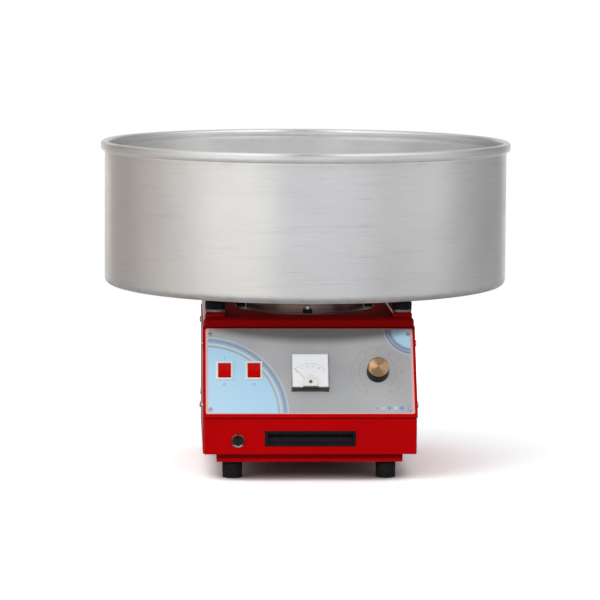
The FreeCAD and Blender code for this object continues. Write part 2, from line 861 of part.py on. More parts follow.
def zero_screw():
    low = overlay_thickness + meter_depth - meter_wall
    top = overlay_thickness + meter_depth + boss_height + zero_screw_proud
    screw = rod(zero_screw_dia / 2, top - low, (0, meter_pivot_s, low))
    screw = screw.cut(block(-zero_screw_dia, zero_screw_dia, meter_pivot_s - zero_slot / 2,
                            meter_pivot_s + zero_slot / 2, top - zero_slot, top))
    screw.translate(Vector(meter_x, meter_s, 0))
    return on_panel(screw)


def meter_needle():
    low = meter_card_height + running_gap
    half = needle_width / 2
    blade = block(-half, half, -needle_tail, needle_length, low, low + needle_thickness)
    hub = rod(needle_hub_dia / 2, 2 * needle_thickness, (0, 0, low))
    bore = rod(meter_pin_dia / 2 + bearing_gap, 4 * needle_thickness, (0, 0, low))
    needle = joined([blade, hub]).cut(bore)
    needle.rotate(Vector(0, 0, 0), Vector(0, 0, 1), needle_rest)
    needle.translate(Vector(meter_x, meter_s + meter_pivot_s, 0))
    return on_panel(needle)


# ---- Heat knob

def potentiometer():
    can = rod(pot_dia / 2, pot_depth, (knob_x, knob_s, -steel - pot_depth))
    bush = rod(pot_bush_dia / 2, pot_bush_proud + steel, (knob_x, knob_s, -steel))
    bore_depth = pot_bush_proud + steel + pot_shaft_depth
    bore = rod(pot_shaft_dia / 2 + bearing_gap, bore_depth, (knob_x, knob_s, pot_bush_proud - bore_depth))
    return on_panel(joined([can, bush]).cut(bore))


def pot_nut_piece():
    nut = hexagon(pot_nut_flats, pot_nut, (knob_x, knob_s, overlay_thickness))
    return on_panel(nut.cut(rod(pot_bush_dia / 2, pot_nut, (knob_x, knob_s, overlay_thickness))))


def knob_body():
    low = overlay_thickness + knob_lift
    radius = knob_dia / 2
    body = Part.makeCone(radius, radius - knob_taper, knob_height, Vector(knob_x, knob_s, low))
    body = rounded_end(body, "z", low + knob_height, knob_round)
    recess = rod(knob_recess_dia / 2, knob_recess_depth, (knob_x, knob_s, low))
    bore = rod(pot_shaft_dia / 2, knob_bore_depth, (knob_x, knob_s, low))
    flutes = []
    for x, s in on_circle(radius + knob_flute_inset, knob_flutes):
        flutes.append(rod(knob_flute_dia / 2, knob_flute_height, (knob_x + x, knob_s + s, low)))
    return on_panel(body.cut([recess, bore] + flutes))


def knob_cap():
    """Spun brass disc let into the knob's top, dished towards its middle."""
    low = overlay_thickness + knob_lift + knob_height
    radius = knob_cap_dia / 2
    outline = [
        (0, 0),
        (radius, 0),
        (radius, knob_cap_height - knob_cap_bevel),
        (radius - knob_cap_bevel, knob_cap_height),
        (radius - knob_cap_bevel - knob_cap_lip, knob_cap_height),
        (0, knob_cap_height - knob_cap_dish),
    ]
    cap = turned(outline)
    cap.translate(Vector(knob_x, knob_s, low))
    return on_panel(cap)


def knob_shaft():
    low = -steel - pot_shaft_depth + running_gap
    top = overlay_thickness + knob_lift + knob_bore_depth
    return on_panel(rod(pot_shaft_dia / 2, top - low, (knob_x, knob_s, low)))


# ---- Shelf and drawer

def chassis_shelf():
    plate = block(-shell_inner, shell_inner, shelf_front_y, inside_back_y,
                  shelf_z, shelf_z + steel)
    hem = block(-shell_inner, shell_inner, shelf_front_y, shelf_front_y + steel,
                shelf_z - shelf_hem, shelf_z)
    side = block(shell_inner - steel, shell_inner, shelf_flange_front_y, inside_back_y,
                 shelf_z, shelf_z + shelf_flange)
    return joined([plate, hem, side, mirrored(side)]).cut(side_screw_holes(shell_inner))


def drawer_runner():
    """Right runner: a channel on the side panel that holds the drawer's rail from above and below."""
    low_z = drawer_box_high_z - drawer_rail - running_gap - steel
    high_z = drawer_box_high_z + running_gap + steel
    leg_x = shell_inner - runner_leg
    channel = block(leg_x, shell_inner, cheek_front_y, inside_back_y, low_z, high_z)
    groove = block(leg_x, shell_inner - steel, cheek_front_y, inside_back_y, low_z + steel, high_z - steel)
    return channel.cut(groove)


def drawer_front():
    low_z = drawer_front_low_z
    high_z = drawer_front_high_z
    half = half_shell - drawer_front_step
    outer = block(-half, half, drawer_face_y, drawer_back_of_front_y, low_z, high_z)
    outer = rounded_end(outer, "y", drawer_face_y, drawer_front_round)
    inner = block(-half + steel, half - steel, drawer_face_y + steel, drawer_back_of_front_y,
                  low_z + steel, high_z - steel)
    cuts = [inner, rod(lock_body_dia / 2 + fit_gap, steel, (lock_x, drawer_face_y, lock_z), (0, 1, 0))]
    half_pull = pull_width / 2 - pull_lip
    half_pull_z = pull_height / 2 - pull_lip
    cuts.append(block(-half_pull, half_pull, drawer_face_y, drawer_face_y + steel,
                      pull_z - half_pull_z, pull_z + half_pull_z))
    return outer.cut(cuts)


def drawer_box():
    """Tray with hemmed side rails; its sides reach forward and are spot-welded to the front."""
    half = half_shell - drawer_box_step
    inner = half - thin_steel
    face = drawer_face_y + steel
    floor = block(-half, half, face + drawer_floor_high, drawer_box_back_y, drawer_box_low_z,
                  drawer_box_low_z + thin_steel)
    side = block(inner, half, face, drawer_box_back_y, drawer_box_low_z, drawer_box_high_z)
    tab = block(half, half + drawer_tab, face, face + thin_steel, drawer_box_low_z + drawer_tab_foot,
                drawer_box_high_z - drawer_tab_head)
    rail = block(half, half + drawer_rail_width, cheek_front_y, drawer_box_back_y,
                 drawer_box_high_z - drawer_rail, drawer_box_high_z)
    front_wall = block(-half, half, drawer_box_wall_y, drawer_box_wall_y + thin_steel,
                       drawer_box_low_z, drawer_box_high_z)
    back_wall = block(-half, half, drawer_box_back_y - thin_steel, drawer_box_back_y,
                      drawer_box_low_z, drawer_box_high_z)
    parts = [floor, front_wall, back_wall]
    for piece in (side, tab, rail):
        parts.extend([piece, mirrored(piece)])
    return joined(parts)


def drawer_pull():
    """Black moulded flush pull with a lip on the face and a pocket for the fingers."""
    half = pull_width / 2
    half_z = pull_height / 2
    front_y = drawer_face_y - pull_proud
    cup_back_y = drawer_face_y + pull_depth
    lip = block(-half, half, front_y, drawer_face_y, pull_z - half_z, pull_z + half_z)
    lip = rounded_end(lip, "y", front_y, pull_round)
    cup_x = half - pull_lip - fit_gap
    cup_z = half_z - pull_lip - fit_gap
    cup = block(-cup_x, cup_x, drawer_face_y, cup_back_y, pull_z - cup_z, pull_z + cup_z)
    pocket_x = cup_x - pull_wall
    pocket_z = cup_z - pull_wall
    pocket = block(-pocket_x, pocket_x, front_y, cup_back_y - pull_wall,
                   pull_z - pocket_z, pull_z + pocket_z)
    return joined([lip, cup]).cut(pocket)


def lock_barrel():
    front_y = drawer_face_y - lock_flange
    rim = rod(lock_flange_dia / 2, lock_flange, (lock_x, front_y, lock_z), (0, 1, 0))
    rim = rounded_end(rim, "y", front_y, lock_round)
    body = rod(lock_body_dia / 2, lock_body_length, (lock_x, drawer_face_y, lock_z), (0, 1, 0))
    bore = rod(lock_bore_dia / 2, lock_flange + lock_body_length, (lock_x, front_y, lock_z), (0, 1, 0))
    return joined([rim, body]).cut(bore)


def lock_nut_piece():
    start = (lock_x, drawer_face_y + steel, lock_z)
    return hexagon(lock_nut_flats, lock_nut, start, (0, 1, 0)).cut(
        rod(lock_body_dia / 2, lock_nut, start, (0, 1, 0)))


def lock_plug():
    """Plug with a key slot, and the cam on its inner end, lying sideways when unlocked."""
    radius = lock_bore_dia / 2 - bearing_gap
    face_y = drawer_face_y - lock_flange + plug_recess
    back_y = drawer_face_y + lock_body_length + running_gap
    plug = rod(radius, back_y - face_y, (lock_x, face_y, lock_z), (0, 1, 0))
    slot = block(lock_x - key_slot_width / 2, lock_x + key_slot_width / 2, face_y, face_y + key_slot_depth,
                 lock_z - key_slot_height / 2, lock_z + key_slot_height / 2)
    tip_x = lock_x - cam_length + cam_width / 2
    arm = block(tip_x, lock_x, back_y, back_y + cam_thickness,
                lock_z - cam_width / 2, lock_z + cam_width / 2)
    tip = rod(cam_width / 2, cam_thickness, (tip_x, back_y, lock_z), (0, 1, 0))
    hub = rod(cam_hub_dia / 2, cam_thickness, (lock_x, back_y, lock_z), (0, 1, 0))
    return joined([plug.cut(slot), arm, tip, hub])


# ---- Motor, collar and brushes

def motor():
    can = rod(motor_dia / 2, motor_height, (0, 0, motor_low_z))
    can = can.makeFillet(motor_round, [edge for edge in can.Edges if len(edge.Vertexes) == 1])
    boss = rod(motor_boss_dia / 2, motor_plate + motor_boss, (0, 0, motor_plate_low_z))
    bore = rod(shaft_dia / 2 + bearing_gap, motor_bore_depth + motor_plate + motor_boss,
               (0, 0, motor_plate_low_z - motor_bore_depth))
    return joined([can, boss]).cut(bore)


def motor_plate_piece():
    plate = rod(motor_plate_radius, motor_plate, (0, 0, motor_plate_low_z))
    cuts = [rod(motor_boss_dia / 2 + fit_gap, motor_plate, (0, 0, motor_plate_low_z))]
    for x, y in stud_places:
        cuts.append(rod(stud_dia / 2 + screw_hole_gap, motor_plate, (x, y, motor_plate_low_z)))
    return plate.cut(cuts)


def motor_stud(x, y):
    """Threaded stud with its lower nut, which is locked to it below the motor plate."""
    low_z = motor_plate_low_z - stud_low_nut
    stud = rod(stud_dia / 2, deck_top_z + stud_proud - low_z, (x, y, low_z))
    return stud.fuse(hexagon(stud_nut_flats, stud_low_nut, (x, y, low_z)))


def rubber_spacer(x, y):
    return tube(spacer_dia / 2, stud_dia / 2, spacer_height, (x, y, motor_plate_top_z))


def stud_nut_piece(x, y):
    low_z = deck_top_z + thin_steel
    return hexagon(stud_nut_flats, stud_nut, (x, y, low_z)).cut(rod(stud_dia / 2, stud_nut, (x, y, low_z)))


def collar():
    """Pressed steel collar that keeps sugar off the brushes; its foot is held under the motor studs."""
    radius = collar_dia / 2
    inner = radius - thin_steel
    hole = collar_hole_dia / 2
    outline = [
        (collar_foot_radius, deck_top_z),
        (collar_foot_radius, deck_top_z + thin_steel),
        (radius, deck_top_z + thin_steel),
        (radius, collar_top_z),
        (hole, collar_top_z),
        (hole, collar_top_z - thin_steel),
        (inner, collar_top_z - thin_steel),
        (inner, deck_top_z),
    ]
    shell = turned(outline)
    cuts = []
    for x, y in stud_places:
        cuts.append(rod(stud_dia / 2 + screw_hole_gap, thin_steel, (x, y, deck_top_z)))
    return shell.cut(cuts)


def brush_middle_zs():
    return [ring_low_z + ring_height / 2, ring_low_z + ring_pitch + ring_height / 2]


def brush_holder():
    top_z = ring_low_z + ring_pitch + ring_height + ring_hub_margin
    holder = block(holder_x - holder_width, holder_x, -holder_depth / 2, holder_depth / 2,
                   deck_top_z, top_z)
    half = brush_side / 2
    guides = []
    for z in brush_middle_zs():
        guides.append(block(holder_x - holder_width, holder_x, -half, half, z - half, z + half))
    return holder.cut(guides)


def carbon_brushes():
    tip_x = -ring_dia / 2 - running_gap
    half = brush_side / 2
    pieces = []
    for z in brush_middle_zs():
        pieces.append(block(tip_x - brush_length, tip_x, -half, half, z - half, z + half))
    return Part.makeCompound(pieces)


# ---- Electronics and rear gland

def board_posts():
    places = []
    for x in (-1, 1):
        for y in (-1, 1):
            places.append((board_x + x * (board_width / 2 - board_post_inset),
                           board_y + y * (board_depth / 2 - board_post_inset)))
    low_z = shelf_z + steel
    return at_each(places, lambda x, y: rod(board_post_dia / 2, board_post, (x, y, low_z)))


def control_board():
    """Circuit board with its two larger components."""
    low_z = shelf_z + steel + board_post
    top_z = low_z + board_thickness
    board = block(board_x - board_width / 2, board_x + board_width / 2, board_y - board_depth / 2,
                  board_y + board_depth / 2, low_z, top_z)
    sink_back_y = board_y - board_depth / 2 + board_post_inset + sink_depth
    capacitor_y = sink_back_y + part_gap + capacitor_dia / 2
    choke_y = sink_back_y + part_gap + choke_dia / 2
    capacitor = rod(capacitor_dia / 2, capacitor_height, (board_x - board_width / 4, capacitor_y, top_z))
    choke = rod(choke_dia / 2, choke_height, (board_x + board_width / 5, choke_y, top_z))
    return joined([board, capacitor, choke])


def heat_sink():
    low_z = shelf_z + steel + board_post + board_thickness
    x0 = board_x - sink_width / 2
    y0 = board_y - board_depth / 2 + board_post_inset
    parts = [block(x0, x0 + sink_width, y0, y0 + sink_depth, low_z, low_z + sink_base)]
    pitch = (sink_width - sink_fin_thickness) / (sink_fins - 1)
    for i in range(sink_fins):
        x = x0 + i * pitch
        parts.append(block(x, x + sink_fin_thickness, y0, y0 + sink_depth, low_z + sink_base,
                           low_z + sink_base + sink_fin))
    return joined(parts)


def terminal_block():
    low_z = shelf_z + steel
    body = block(terminal_x - terminal_width / 2, terminal_x + terminal_width / 2,
                 terminal_y - terminal_depth / 2, terminal_y + terminal_depth / 2,
                 low_z, low_z + terminal_height)
    pitch = terminal_width / terminal_poles
    cuts = []
    for i in range(terminal_poles):
        x = terminal_x - terminal_width / 2 + pitch / 2 + i * pitch
        start = (x, terminal_y - terminal_depth / 2, low_z + terminal_wire_height)
        cuts.append(rod(terminal_wire_dia / 2, terminal_depth, start, (0, 1, 0)))
    return body.cut(cuts)


def cable_gland():
    inner_y = shell_back_y - steel - gland_inside
    thread = rod(gland_thread_dia / 2, gland_inside + steel, (gland_x, inner_y, gland_z), (0, 1, 0))
    collar_piece = hexagon(gland_flats, gland_collar, (gland_x, shell_back_y, gland_z), (0, 1, 0))
    cap_y = shell_back_y + gland_collar
    cap = rod(gland_cap_dia / 2, gland_cap, (gland_x, cap_y, gland_z), (0, 1, 0))
    cap = rounded_end(cap, "y", cap_y + gland_cap, gland_round)
    length = gland_inside + steel + gland_collar + gland_cap
    bore = rod(gland_bore_dia / 2, length, (gland_x, inner_y, gland_z), (0, 1, 0))
    return joined([thread, collar_piece, cap]).cut(bore)


def gland_nut_piece():
    start = (gland_x, shell_back_y - steel - gland_nut, gland_z)
    return hexagon(gland_flats, gland_nut, start, (0, 1, 0)).cut(
        rod(gland_thread_dia / 2, gland_nut, start, (0, 1, 0)))


# ---- Bowl mounts

def bowl_mount(x, y):
    """Waisted rubber bush between the rail and the bowl."""
    radius = mount_dia / 2
    waist = radius - mount_waist
    bore = mount_stud_dia / 2
    middle = mount_height / 2
    neck = mount_waist_length / 2
    shoulder = neck + mount_waist_slope
    outline = [
        (bore, 0),
        (radius, 0),
        (radius, middle - shoulder),
        (waist, middle - neck),
        (waist, middle + neck),
        (radius, middle + shoulder),
        (radius, mount_height),
        (bore, mount_height),
    ]
    mount = turned(outline)
    mount.translate(Vector(x, y, mount_low_z))
    return mount


def mount_washer_piece(x, y):
    return tube(mount_dia / 2, mount_stud_dia / 2, mount_washer, (x, y, rail_top_z))


def mount_stud(x, y):
    """Bolt held up from inside the rail; its domed tip enters the bowl's floor."""
    head_z = rail_top_z - steel - mount_head
    head = rod(mount_head_dia / 2, mount_head, (x, y, head_z))
    tip_z = mount_top_z + mount_stud_proud
    shank = rod(mount_stud_dia / 2, tip_z - head_z, (x, y, head_z))
    return rounded_end(shank, "z", tip_z, mount_stud_round).fuse(head)


# ---- Bowl

def bowl_wall():
    """Rolled aluminium wall, curled outwards round a wire above and turned in below."""
    low_z = bowl_low_z
    bead_z = bowl_top_z - bead_radius
    outer = bowl_radius
    inner = bowl_radius - bowl_sheet
    turn = bowl_radius - bowl_corner
    outer_bend = bowl_corner * (1 - math.sqrt(0.5))
    inner_bend = (bowl_corner - bowl_sheet) * (1 - math.sqrt(0.5))
    bend_outer = Vector(outer - outer_bend, 0, low_z + outer_bend)
    bend_inner = Vector(inner - inner_bend, 0, low_z + bowl_sheet + inner_bend)
    a = Vector(turn, 0, low_z)
    b = Vector(outer, 0, low_z + bowl_corner)
    c = Vector(outer, 0, bead_z)
    d = Vector(inner, 0, bead_z)
    e = Vector(inner, 0, low_z + bowl_corner)
    f = Vector(turn, 0, low_z + bowl_sheet)
    edges = [
        Part.Arc(a, bend_outer, b).toShape(),
        Part.makeLine(b, c),
        Part.makeLine(c, d),
        Part.makeLine(d, e),
        Part.Arc(e, bend_inner, f).toShape(),
        Part.makeLine(f, a),
    ]
    wall = Part.Face(Part.Wire(edges)).revolve(Vector(0, 0, 0), Vector(0, 0, 1), 360)
    return joined([wall, rolled_rim()]).cut(rim_wire())


def rolled_rim():
    """The curled edge, taller than it is thick."""
    middle = bowl_rim_radius - bead_radius
    inside = middle - bead_radius
    high_z = bowl_top_z - bead_radius
    low_z = high_z - bead_flat
    edges = [
        Part.Arc(Vector(bowl_rim_radius, 0, high_z), Vector(middle, 0, bowl_top_z),
                 Vector(inside, 0, high_z)).toShape(),
        Part.makeLine(Vector(inside, 0, high_z), Vector(inside, 0, low_z)),
        Part.Arc(Vector(inside, 0, low_z), Vector(middle, 0, low_z - bead_radius),
                 Vector(bowl_rim_radius, 0, low_z)).toShape(),
        Part.makeLine(Vector(bowl_rim_radius, 0, low_z), Vector(bowl_rim_radius, 0, high_z)),
    ]
    return Part.Face(Part.Wire(edges)).revolve(Vector(0, 0, 0), Vector(0, 0, 1), 360)


def rim_wire():
    return Part.makeTorus(bowl_rim_radius - bead_radius, bead_wire_dia / 2,
                          Vector(0, 0, bowl_top_z - bead_radius))


def bowl_floor():
    """Flat floor welded to the wall's turned-in edge, with a hole for the head."""
    plate = tube(bowl_radius - bowl_corner, bowl_hole_dia / 2, bowl_sheet, (0, 0, bowl_low_z))
    cuts = [rod(bowl_stud_hole_dia / 2, bowl_sheet, (x, y, bowl_low_z)) for x, y in mount_places]
    return plate.cut(cuts)


# ---- Spinning head

def drive_shaft():
    return rod(shaft_dia / 2, shaft_top_z - shaft_low_z, (0, 0, shaft_low_z))


def ring_hub():
    low_z = ring_low_z - ring_hub_margin
    length = ring_pitch + ring_height + 2 * ring_hub_margin
    return tube(ring_hub_dia / 2, shaft_dia / 2, length, (0, 0, low_z))


def slip_rings():
    pieces = []
    for z in (ring_low_z, ring_low_z + ring_pitch):
        pieces.append(tube(ring_dia / 2, ring_hub_dia / 2, ring_height, (0, 0, z)))
    return Part.makeCompound(pieces)


def head_screw_places():
    return on_circle(head_screw_circle, head_screws, first=90)


def head_base_piece():
    bore = shaft_dia / 2
    hub = head_hub_dia / 2
    rim = head_radius - cover_wall
    low_hub = head_hub_low_dia / 2
    outline = [
        (bore, head_low_z - head_hub_low),
        (low_hub, head_low_z - head_hub_low),
        (low_hub, head_low_z),
        (head_radius, head_low_z),
        (head_radius, head_floor_z + head_base_rim),
        (rim, head_floor_z + head_base_rim),
        (rim, head_floor_z),
        (hub, head_floor_z),
        (hub, hub_top_z),
        (bore, hub_top_z),
    ]
    holes = [rod(head_screw_dia / 2, head_base, (x, y, head_low_z)) for x, y in head_screw_places()]
    return turned(outline).cut(holes)


def element_carrier():
    return tube(carrier_outer, carrier_inner, carrier_height, (0, 0, head_floor_z))


def heating_element():
    """Folded ribbon standing on its edge in a ring."""
    def folded(inset):
        points = []
        for i in range(2 * element_folds):
            angle = math.pi * i / element_folds
            radius = (element_outer if i % 2 else element_inner) - inset
            points.append(Vector(radius * math.cos(angle), radius * math.sin(angle), 0))
        return Part.Face(Part.makePolygon(points + points[:1]))

    ribbon = folded(0).cut(folded(element_ribbon)).extrude(Vector(0, 0, element_height))
    ribbon.translate(Vector(0, 0, head_floor_z + carrier_height))
    return ribbon


def floss_ring():
    inner = floss_ring_radius - floss_ring_wall
    ring = tube(floss_ring_radius, inner, floss_ring_height, (0, 0, head_floor_z))
    low_z = head_floor_z + (floss_ring_height - floss_slot_height) / 2
    slots = []
    for i in range(floss_slots):
        slot = block(inner - 1, floss_ring_radius + 1, -floss_slot_width / 2, floss_slot_width / 2,
                     low_z, low_z + floss_slot_height)
        slot.rotate(Vector(0, 0, 0), Vector(0, 0, 1), 360 * i / floss_slots)
        slots.append(slot)
    return ring.cut(slots)


def cover_z(radius):
    """Height of the cover's underside at a radius."""
    span = floss_ring_radius - feed_radius
    return floss_top_z + cover_rise * (floss_ring_radius - radius) / span


def head_cover():
    """Spun cover over the floss ring, rising to the neck that the sugar is poured into."""
    neck_z = cover_z(feed_radius) + feed_height
    neck = feed_radius - cover_wall
    outline = [
        (floss_ring_radius, floss_top_z),
        (head_radius, floss_top_z),
        (head_radius, floss_top_z + cover_wall),
        (floss_ring_radius, floss_top_z + cover_wall),
        (feed_radius, cover_z(feed_radius) + cover_wall),
        (feed_radius, neck_z),
        (neck, neck_z),
        (neck, cover_z(feed_radius)),
        (feed_radius, cover_z(feed_radius)),
    ]
    cover = turned(outline)
    reach = cover_z(head_screw_circle) + 3 * cover_wall - floss_top_z
    return cover.cut([rod(head_screw_dia / 2 + screw_hole_gap, reach, (x, y, floss_top_z))
                      for x, y in head_screw_places()])


def head_screw(x, y):
    """Screw from the cover into the base, its head seated on the high side of the slope."""
    seat_z = cover_z(head_screw_circle) + cover_wall + head_screw_lift
    shank = rod(head_screw_dia / 2, seat_z - head_low_z, (x, y, head_low_z))
    return shank.fuse(rod(head_screw_head_dia / 2, head_screw_head, (x, y, seat_z)))


def spindle_nut_piece():
    return hexagon(spindle_flats, spindle_nut, (0, 0, hub_top_z)).cut(
        rod(shaft_dia / 2, spindle_nut, (0, 0, hub_top_z)))


# ---- Nodes

def foot_fasteners():
    screws = [foot_screw(x, y) for x, y in foot_places]
    nuts = [foot_nut(x, y) for x, y in foot_places]
    return Part.makeCompound(screws + nuts)


def shell_screws():
    return Part.makeCompound(side_screws().Solids + [base_screw(x, y) for x, y in base_screw_places()])


nodes = {
    "base_tray": base_tray(),
    "rubber_feet": at_each(foot_places, rubber_foot),
    "foot_fasteners": foot_fasteners(),
    "side_panel_right": side_panel(),
    "side_panel_left": mirrored(side_panel()),
    "shell_screws": shell_screws(),
    "rear_panel": rear_panel(),
    "deck_cover": deck_cover(),
    "deck_rail_right": deck_rail(),
    "deck_rail_left": mirrored(deck_rail()),
    "control_fascia": control_fascia(),
    "panel_overlay": panel_overlay(),
    "overlay_screws": overlay_screws(),
    "switch_frames": Part.makeCompound([switch_frame(x) for x in switch_x]),
    "rocker_left": rocker(switch_x[0]),
    "rocker_right": rocker(switch_x[1]),
    "meter_base": meter_base(),
    "meter_scale": meter_scale(),
    "meter_cover": meter_cover(),
    "meter_boss": meter_boss(),
    "meter_zero_screw": zero_screw(),
    "meter_needle": meter_needle(),
    "potentiometer": Part.makeCompound([potentiometer(), pot_nut_piece()]),
    "knob_body": knob_body(),
    "knob_cap": knob_cap(),
    "knob_shaft": knob_shaft(),
    "chassis_shelf": chassis_shelf(),
    "drawer_runners": Part.makeCompound([drawer_runner(), mirrored(drawer_runner())]),
    "drawer_front": drawer_front(),
    "drawer_box": drawer_box(),
    "drawer_pull": drawer_pull(),
    "lock_barrel": Part.makeCompound([lock_barrel(), lock_nut_piece()]),
    "lock_plug": lock_plug(),
    "motor": motor(),
    "motor_plate": motor_plate_piece(),
    "motor_studs": at_each(stud_places, motor_stud),
    "motor_spacers": at_each(stud_places, rubber_spacer),
    "stud_nuts": at_each(stud_places, stud_nut_piece),
    "collar": collar(),
    "brush_holder": brush_holder(),
    "carbon_brushes": carbon_brushes(),
    "control_board": Part.makeCompound([control_board()] + board_posts().Solids),
    "heat_sink": heat_sink(),
    "terminal_block": terminal_block(),
    "cable_gland": Part.makeCompound([cable_gland(), gland_nut_piece()]),
    "bowl_mounts": at_each(mount_places, bowl_mount),
    "mount_washers": at_each(mount_places, mount_washer_piece),
    "mount_studs": at_each(mount_places, mount_stud),
    "bowl_wall": bowl_wall(),
    "rim_wire": rim_wire(),
    "bowl_floor": bowl_floor(),
    "drive_shaft": Part.makeCompound([drive_shaft(), spindle_nut_piece()]),
    "slip_ring_hub": ring_hub(),
    "slip_rings": slip_rings(),
    "head_base": head_base_piece(),
    "element_carrier": element_carrier(),
    "heating_element": heating_element(),
    "floss_ring": floss_ring(),
    "head_cover": head_cover(),
    "head_screws": at_each(head_screw_places(), head_screw),
}

for name, shape in nodes.items():
    shape.exportStep("parts/" + name + ".step")
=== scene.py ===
import json
import math
import random

import bmesh
import bpy
from mathutils import Matrix, Vector


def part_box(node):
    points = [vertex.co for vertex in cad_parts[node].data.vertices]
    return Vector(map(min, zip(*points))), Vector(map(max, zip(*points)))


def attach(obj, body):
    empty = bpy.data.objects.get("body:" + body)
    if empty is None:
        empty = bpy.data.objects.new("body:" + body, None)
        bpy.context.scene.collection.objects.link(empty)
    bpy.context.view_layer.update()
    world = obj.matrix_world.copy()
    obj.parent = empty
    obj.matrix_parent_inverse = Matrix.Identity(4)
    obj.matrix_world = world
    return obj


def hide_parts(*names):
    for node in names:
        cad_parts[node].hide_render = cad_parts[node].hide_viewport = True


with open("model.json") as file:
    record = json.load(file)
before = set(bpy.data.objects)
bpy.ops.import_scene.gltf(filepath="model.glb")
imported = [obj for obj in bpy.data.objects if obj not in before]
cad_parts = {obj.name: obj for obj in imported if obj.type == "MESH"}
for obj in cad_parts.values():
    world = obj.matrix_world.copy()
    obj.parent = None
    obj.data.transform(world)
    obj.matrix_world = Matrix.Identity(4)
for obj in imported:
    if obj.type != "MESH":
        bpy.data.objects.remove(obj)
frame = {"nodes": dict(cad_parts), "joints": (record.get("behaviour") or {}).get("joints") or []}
for leftover in ("Cube", "Light", "Camera"):
    if leftover in bpy.data.objects:
        bpy.data.objects.remove(bpy.data.objects[leftover])
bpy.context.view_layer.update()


# ---- Base tray
# The shallow tray that everything stands on, folded from 1.5 mm steel. Like the whole casing it is sprayed
# with red gloss enamel, which has a faint orange peel and is rubbed pale at its folds and corners.

def add(tree, kind, inputs, **properties):
    """A shader node. inputs gives each socket its value, or the socket that feeds it."""
    node = tree.nodes.new("ShaderNode" + kind)
    for name, value in properties.items():
        setattr(node, name, value)
    for socket, value in inputs.items():
        if isinstance(value, bpy.types.NodeSocket):
            tree.links.new(value, node.inputs[socket])
        else:
            node.inputs[socket].default_value = value
    return node


def calc(tree, operation, *terms):
    """The result of a Math node."""
    return add(tree, "Math", dict(enumerate(terms)), operation=operation).outputs[0]


def times(tree, product, *factors):
    """The product of two or more numbers."""
    for factor in factors:
        product = calc(tree, "MULTIPLY", product, factor)
    return product


def vector_calc(tree, operation, *terms):
    """The vector result of a Vector Math node."""
    return add(tree, "VectorMath", dict(enumerate(terms)), operation=operation).outputs["Vector"]


def measure(tree, operation, *terms):
    """The single number that a Vector Math node gives, such as a length or a dot product."""
    return add(tree, "VectorMath", dict(enumerate(terms)), operation=operation).outputs["Value"]


def spread(tree, value, low, high, start=0.0, end=1.0):
    """Maps value smoothly from the range low..high to start..end."""
    inputs = {"Value": value, 1: low, 2: high, 3: start, 4: end}
    return add(tree, "MapRange", inputs, interpolation_type="SMOOTHSTEP").outputs[0]


def position(tree):
    """Where a point is, as a vector."""
    return add(tree, "TexCoord", {}).outputs["Object"]


def coordinate(tree, axis):
    """Where a point is along X, Y or Z."""
    return add(tree, "SeparateXYZ", {0: position(tree)}).outputs[axis]


def facing_up(tree):
    """How far a face looks up: 1 where it lies level and 0 where it stands upright."""
    return add(tree, "SeparateXYZ", {0: add(tree, "NewGeometry", {}).outputs["Normal"]}).outputs["Z"]


def new_group(name, inputs, outputs):
    """An empty node group. inputs gives each socket's first value, outputs each socket's type."""
    group = bpy.data.node_groups.new(name, "ShaderNodeTree")
    for title, value in inputs.items():
        kind = "NodeSocketVector" if isinstance(value, tuple) else "NodeSocketFloat"
        group.interface.new_socket(title, in_out="INPUT", socket_type=kind).default_value = value
    for title, kind in outputs.items():
        group.interface.new_socket(title, in_out="OUTPUT", socket_type="NodeSocket" + kind)
    return group, group.nodes.new("NodeGroupInput").outputs, group.nodes.new("NodeGroupOutput").inputs


def soft_edges_group():
    """Edges broken to a small radius, and a mask of where they are."""
    group, given, out = new_group("soft_edges", {"Radius": 0.0004}, {"Normal": "Vector", "Edge": "Float"})
    bevel = add(group, "Bevel", {"Radius": given["Radius"]}, samples=4)
    face = add(group, "NewGeometry", {})
    likeness = measure(group, "DOT_PRODUCT", bevel.outputs["Normal"], face.outputs["Normal"])
    group.links.new(bevel.outputs["Normal"], out["Normal"])
    group.links.new(spread(group, likeness, 0.99, 0.86), out["Edge"])
    return group


def mottle_group():
    """Soft patches: 0 in some places and 1 in others."""
    start = {"Size": 0.05, "Low": 0.4, "High": 0.6, "Shift": 0.0, "Stretch": (1.0, 1.0, 1.0)}
    group, given, out = new_group("mottle", start, {"Mask": "Float"})
    scaled = vector_calc(group, "MULTIPLY", position(group), given["Stretch"])
    noise = add(group, "TexNoise", {"Vector": vector_calc(group, "ADD", scaled, given["Shift"]),
                                    "Scale": calc(group, "DIVIDE", 1.0, given["Size"]), "Detail": 4.0})
    group.links.new(spread(group, noise.outputs[0], given["Low"], given["High"]), out["Mask"])
    return group


def grain_group():
    """Fine relief, in millimetres."""
    start = {"Size": 0.001, "Depth": 0.01, "Stretch": (1.0, 1.0, 1.0)}
    group, given, out = new_group("grain", start, {"Height": "Float"})
    place = position(group)
    noise = add(group, "TexNoise", {"Vector": vector_calc(group, "MULTIPLY", place, given["Stretch"]),
                                    "Scale": calc(group, "DIVIDE", 1.0, given["Size"]), "Detail": 3.0})
    group.links.new(times(group, noise.outputs[0], given["Depth"]), out["Height"])
    return group


def settled_dust_group():
    """Where dust lies: on what faces up, in patches."""
    group, given, out = new_group("settled_dust", {"Amount": 0.5, "Size": 0.03}, {"Mask": "Float"})
    patches = add(group, "Group", {"Size": given["Size"], "Low": 0.3, "High": 0.8}, node_tree=mottle)
    lying = times(group, spread(group, facing_up(group), 0.6, 1.0), patches.outputs["Mask"], given["Amount"])
    group.links.new(lying, out["Mask"])
    return group


